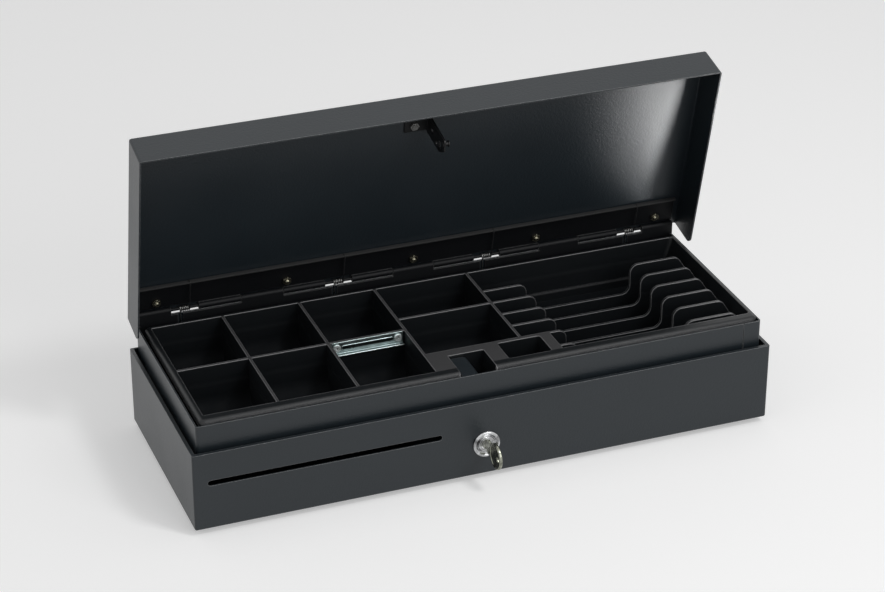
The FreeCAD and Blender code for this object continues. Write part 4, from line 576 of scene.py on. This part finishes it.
class CASHDRAWER_OT_nuts(bpy.types.Operator):
    """Make the nuts and studs under the lid's hinge leaf"""

    bl_idname = "cash_drawer.nuts"
    bl_label = "Nuts"

    def execute(self, context):
        sizes = context.scene.drawer_details
        low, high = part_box("lid_leaf_nuts")
        reach = (high.x - low.x) / 2 - sizes.nut_radius
        base = Vector((0.0, -9.0 * MM, 1.3 * MM))
        nuts = []
        for index in range(5):
            centre = base + Vector((-reach + index * reach / 2, 0, 0))
            nut = hex_nut("nut", centre, sizes.nut_radius, sizes.nut_height)
            stud = threaded_stud("stud", centre, 1.6 * MM, sizes.nut_height, 3.2 * MM, 0.5 * MM)
            nuts += [nut, stud]
        whole = joined(nuts, "leaf_nuts")
        mend(whole)
        opened(whole)
        smooth(whole, 30.0)
        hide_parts("lid_leaf_nuts")
        dress(whole, "lid", finishes["nut_zinc"])
        return {"FINISHED"}


class CASHDRAWER_OT_lock_face(bpy.types.Operator):
    """Make the turned rings on the lock's face"""

    bl_idname = "cash_drawer.lock_face"
    bl_label = "Lock face"

    def execute(self, context):
        rise = context.scene.drawer_details.ring_rise
        low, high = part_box("lock_housing")
        face = Vector((LOCK_PLACE.x, low.y, LOCK_PLACE.z))
        rings = []
        for radius, depth in ((7.0, 1.2), (9.1, 0.0)):
            profile = [((radius - 0.30) * MM, (depth + 0.1) * MM), ((radius - 0.2) * MM, depth * MM - rise * 0.8),
                       (radius * MM, depth * MM - rise), ((radius + 0.2) * MM, depth * MM - rise * 0.8),
                       ((radius + 0.30) * MM, (depth + 0.1) * MM)]
            ring = turned("ring", face, "Y", profile + profile[:1], 64, closed=True)
            rings.append(ring)
        whole = joined(rings, "lock_face_rings")
        smooth(whole, 60.0)
        dress(whole, "case", finishes["chrome"])
        plug_low, plug_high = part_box("lock_plug")
        face = Vector((LOCK_PLACE.x, plug_low.y, LOCK_PLACE.z))
        profile = [(4.6 * MM, 0.1 * MM), (4.8 * MM, -rise * 0.7), (5.1 * MM, -rise * 0.7), (5.3 * MM, 0.1 * MM)]
        ring = turned("lock_plug_ring", face, "Y", profile + profile[:1], 64, closed=True)
        smooth(ring, 60.0)
        dress(ring, "plug", finishes["chrome"])
        return {"FINISHED"}


class CASHDRAWER_OT_key_relief(bpy.types.Operator):
    """Make the raised rims on both faces of the key's bow"""

    bl_idname = "cash_drawer.key_relief"
    bl_label = "Key relief"

    def execute(self, context):
        sizes = context.scene.drawer_details
        low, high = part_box("key")
        radius = (high.z - low.z) / 2
        centre = Vector(((low.x + high.x) / 2, low.y + radius, (low.z + high.z) / 2))
        half = (high.x - low.x) / 2
        rise = sizes.key_rise
        outer = radius - 0.5 * MM
        inner = outer - sizes.key_rim
        rims = []
        for side in (-1, 1):
            at = lambda depth: side * (half + depth)
            profile = [(outer, at(-0.1 * MM)), (outer - 0.25 * MM, at(rise)), (inner + 0.25 * MM, at(rise)),
                       (inner, at(-0.1 * MM))]
            rims.append(turned("rim", centre, "X", profile + profile[:1], 64, closed=True))
        whole = joined(rims, "key_bow_rim")
        mend(whole)
        smooth(whole, 50.0)
        dress(whole, "key", finishes["nickel"])
        return {"FINISHED"}


class CASHDRAWER_OT_socket(bpy.types.Operator):
    """Make the contact wires of the release cable's socket"""

    bl_idname = "cash_drawer.socket"
    bl_label = "Socket contacts"

    def execute(self, context):
        count = context.scene.drawer_details.contacts
        low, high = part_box("cable_socket")
        middle = (low + high) / 2
        pitch = 1.02 * MM
        first = middle.x - pitch * (count - 1) / 2
        start = Vector((first, low.y + 3.2 * MM, middle.z - 3.2 * MM))
        deselect_all()
        bpy.ops.mesh.primitive_circle_add(vertices=8, radius=0.2 * MM, fill_type="NGON", location=start,
                                          rotation=(-math.pi / 2, 0, 0))
        wire = begin("socket_contact_1")
        bpy.ops.mesh.select_mode(type="FACE")
        bpy.ops.mesh.extrude_region_move(TRANSFORM_OT_translate={"value": (0, 8.5 * MM, 0.2 * MM)})
        bpy.ops.mesh.extrude_region_move(TRANSFORM_OT_translate={"value": (0, 0.6 * MM, 0.5 * MM)})
        bpy.ops.mesh.extrude_region_move(TRANSFORM_OT_translate={"value": (0, -5.6 * MM, 2.4 * MM)})
        mend(wire)
        smooth(wire, 60.0)
        for index in range(1, count):
            twin = copied(wire, "socket_contact_%d" % (index + 1), Vector((pitch * index, 0, 0)))
            dress(twin, "case", finishes["contact_gold"])
        dress(wire, "case", finishes["contact_gold"])
        return {"FINISHED"}


def lamp(name, place, target, size, power):
    deselect_all()
    bpy.ops.object.light_add(type="AREA", location=place)
    made = bpy.context.object
    made.name = name
    made.data.shape = "RECTANGLE"
    made.data.size, made.data.size_y = size
    made.data.energy = power
    aim = (Vector(target) - Vector(place)).to_track_quat("-Z", "Y")
    made.rotation_euler = aim.to_euler()
    return made


class CASHDRAWER_OT_stage(bpy.types.Operator):
    """Set the floor, the lamps, the white surroundings and the camera"""

    bl_idname = "cash_drawer.stage"
    bl_label = "Stage"
    floor_lift = 0.34

    def execute(self, context):
        sizes = context.scene.drawer_stage
        deselect_all()
        bpy.ops.mesh.primitive_plane_add(size=14.0, location=(0, 0, 0))
        floor = begin("studio_floor")
        bpy.ops.mesh.subdivide(number_cuts=3)
        bpy.ops.object.mode_set(mode="OBJECT")
        floor.data.materials.append(self.floor_material(sizes.floor))
        lamps = [lamp("left_lamp", (-1.5, -0.35, 1.15), (0, 0, 0.1), (1.1, 1.1), sizes.key_power),
                 lamp("front_lamp", (0.7, -1.9, 1.2), (0, 0, 0.1), (1.4, 1.0), sizes.fill_power),
                 lamp("top_lamp", (0.1, 0.1, 1.7), (0, 0, 0.1), (1.4, 1.0), sizes.top_power),
                 lamp("edge_lamp", (0.75, -1.1, 1.9), (0, 0, 0.1), (0.4, 0.4), sizes.edge_power)]
        strip = lamp("strip_lamp", (0.299, -0.052, 0.006), (0.24, 0.24, 0.22), (0.025, 0.15), sizes.strip_power)
        strip.visible_camera = False
        strip.data.spread = math.radians(64.0)
        strip.data.cycles.use_multiple_importance_sampling = False
        lit = bpy.data.collections.new("strip_lit")
        lit.objects.link(frame["nodes"]["lid_shell"])
        strip.light_linking.receiver_collection = lit
        self.flag(lamps)
        self.surroundings(context.scene, sizes.ambient)
        self.camera(context.scene, sizes.lens)
        context.scene.view_settings.view_transform = "Standard"
        return {"FINISHED"}

    def flag(self, lamps):
        """Unseen flag that keeps the strip's light, and no other lamp's, off the lid's outer side."""
        low, high = Vector((0.234, 0.036, 0.085)), Vector((0.234, 0.135, 0.275))
        deselect_all()
        bpy.ops.mesh.primitive_plane_add(size=1.0, location=(low + high) / 2, rotation=(0, math.pi / 2, 0))
        flag = begin("strip_flag")
        bpy.ops.transform.resize(value=(1.0, high.y - low.y, high.z - low.z), center_override=(low + high) / 2)
        bpy.ops.object.mode_set(mode="OBJECT")
        flag.data.materials.append(self.floor_material((0.02, 0.02, 0.02)))
        for ray in ("camera", "diffuse", "glossy", "transmission"):
            setattr(flag, "visible_" + ray, False)
        group = bpy.data.collections.new("strip_flag")
        group.objects.link(flag)
        group.collection_objects[0].light_linking.link_state = "EXCLUDE"
        for made in lamps:
            made.light_linking.blocker_collection = group

    def seen_mask(self, tree):
        """1 for rays of the camera and for mirrored or passing rays."""
        path = node(tree, "ShaderNodeLightPath")
        first = node(tree, "ShaderNodeMath", operation="MAXIMUM")
        tree.links.new(path.outputs["Is Camera Ray"], first.inputs[0])
        tree.links.new(path.outputs["Is Glossy Ray"], first.inputs[1])
        second = node(tree, "ShaderNodeMath", operation="MAXIMUM")
        tree.links.new(first.outputs[0], second.inputs[0])
        tree.links.new(path.outputs["Is Transmission Ray"], second.inputs[1])
        return second.outputs[0]

    def floor_material(self, pale):
        material, tree, shader, place = start_material("studio_floor")
        cloud = noise(tree, place, 0.8, 2.0)
        tree.links.new(tone(tree, cloud, scaled(pale, 0.99), scaled(pale, 1.01)), shader.inputs["Base Color"])
        tree.links.new(spread(tree, cloud, 0.75, 0.85), shader.inputs["Roughness"])
        shader.inputs["Specular IOR Level"].default_value = 0.1
        lift = node(tree, "ShaderNodeMath", operation="MULTIPLY")
        lift.inputs[1].default_value = self.floor_lift
        tree.links.new(self.seen_mask(tree), lift.inputs[0])
        tree.links.new(lift.outputs[0], shader.inputs["Emission Strength"])
        return material

    def surroundings(self, scene, strength):
        world = bpy.data.worlds.new("studio")
        scene.world = world
        world.use_nodes = True
        tree = world.node_tree
        tree.nodes.clear()
        room = node(tree, "ShaderNodeBackground", Strength=strength)
        room.inputs["Color"].default_value = (1, 1, 1, 1)
        seen = node(tree, "ShaderNodeBackground", Strength=1.0)
        seen.inputs["Color"].default_value = (1, 1, 1, 1)
        mix = node(tree, "ShaderNodeMixShader")
        out = node(tree, "ShaderNodeOutputWorld")
        tree.links.new(self.seen_mask(tree), mix.inputs[0])
        tree.links.new(room.outputs[0], mix.inputs[1])
        tree.links.new(seen.outputs[0], mix.inputs[2])
        tree.links.new(mix.outputs[0], out.inputs["Surface"])

    def camera(self, scene, lens):
        turn, height, roll = math.radians(-20.984), math.radians(27.978), math.radians(0.079)
        target = Vector((0.036326, 0.111543 + (BASE_LOW.y + BASE_HIGH.y) / 2, 0.050))
        back = Vector((math.sin(turn) * math.cos(height), -math.cos(turn) * math.cos(height), math.sin(height)))
        right = Vector((math.cos(turn), math.sin(turn), 0.0))
        up = back.cross(right)
        tilted = right * math.cos(roll) + up * math.sin(roll)
        upright = back.cross(tilted)
        place = target + back * 2.137726
        bpy.ops.object.camera_add()
        camera = bpy.context.object
        camera.name = "studio_camera"
        camera.matrix_world = Matrix((
            (tilted.x, upright.x, back.x, place.x), (tilted.y, upright.y, back.y, place.y),
            (tilted.z, upright.z, back.z, place.z), (0, 0, 0, 1)))
        camera.data.lens = lens
        camera.data.sensor_width = 36.0
        camera.data.sensor_fit = "HORIZONTAL"
        camera.data.clip_start = 0.05
        camera.data.clip_end = 30.0
        scene.camera = camera


STEPS = ("stage", "finishes", "spring_legs", "nuts", "lock_face", "key_relief", "socket")


class CASHDRAWER_PT_panel(bpy.types.Panel):
    """Sidebar panel with the drawer's steps and sizes"""

    bl_idname = "CASHDRAWER_PT_panel"
    bl_label = "Cash Drawer"
    bl_space_type = "VIEW_3D"
    bl_region_type = "UI"
    bl_category = "Cash Drawer"

    def draw(self, context):
        for step in STEPS:
            self.layout.operator("cash_drawer." + step)
        for group in (context.scene.drawer_finishes, context.scene.drawer_details, context.scene.drawer_stage):
            column = self.layout.column()
            for key in group.__annotations__:
                column.prop(group, key)


CLASSES = (
    DrawerFinishes, DrawerDetails, DrawerStage, CASHDRAWER_OT_stage, CASHDRAWER_OT_finishes,
    CASHDRAWER_OT_spring_legs, CASHDRAWER_OT_nuts, CASHDRAWER_OT_lock_face, CASHDRAWER_OT_key_relief,
    CASHDRAWER_OT_socket, CASHDRAWER_PT_panel,
)


def register():
    for item in CLASSES:
        bpy.utils.register_class(item)
    bpy.types.Scene.drawer_finishes = PointerProperty(type=DrawerFinishes)
    bpy.types.Scene.drawer_details = PointerProperty(type=DrawerDetails)
    bpy.types.Scene.drawer_stage = PointerProperty(type=DrawerStage)


def unregister():
    del bpy.types.Scene.drawer_stage
    del bpy.types.Scene.drawer_details
    del bpy.types.Scene.drawer_finishes
    for item in reversed(CLASSES):
        bpy.utils.unregister_class(item)


def main():
    register()
    for step in STEPS:
        getattr(bpy.ops.cash_drawer, step)()


if __name__ == "__main__":
    main()
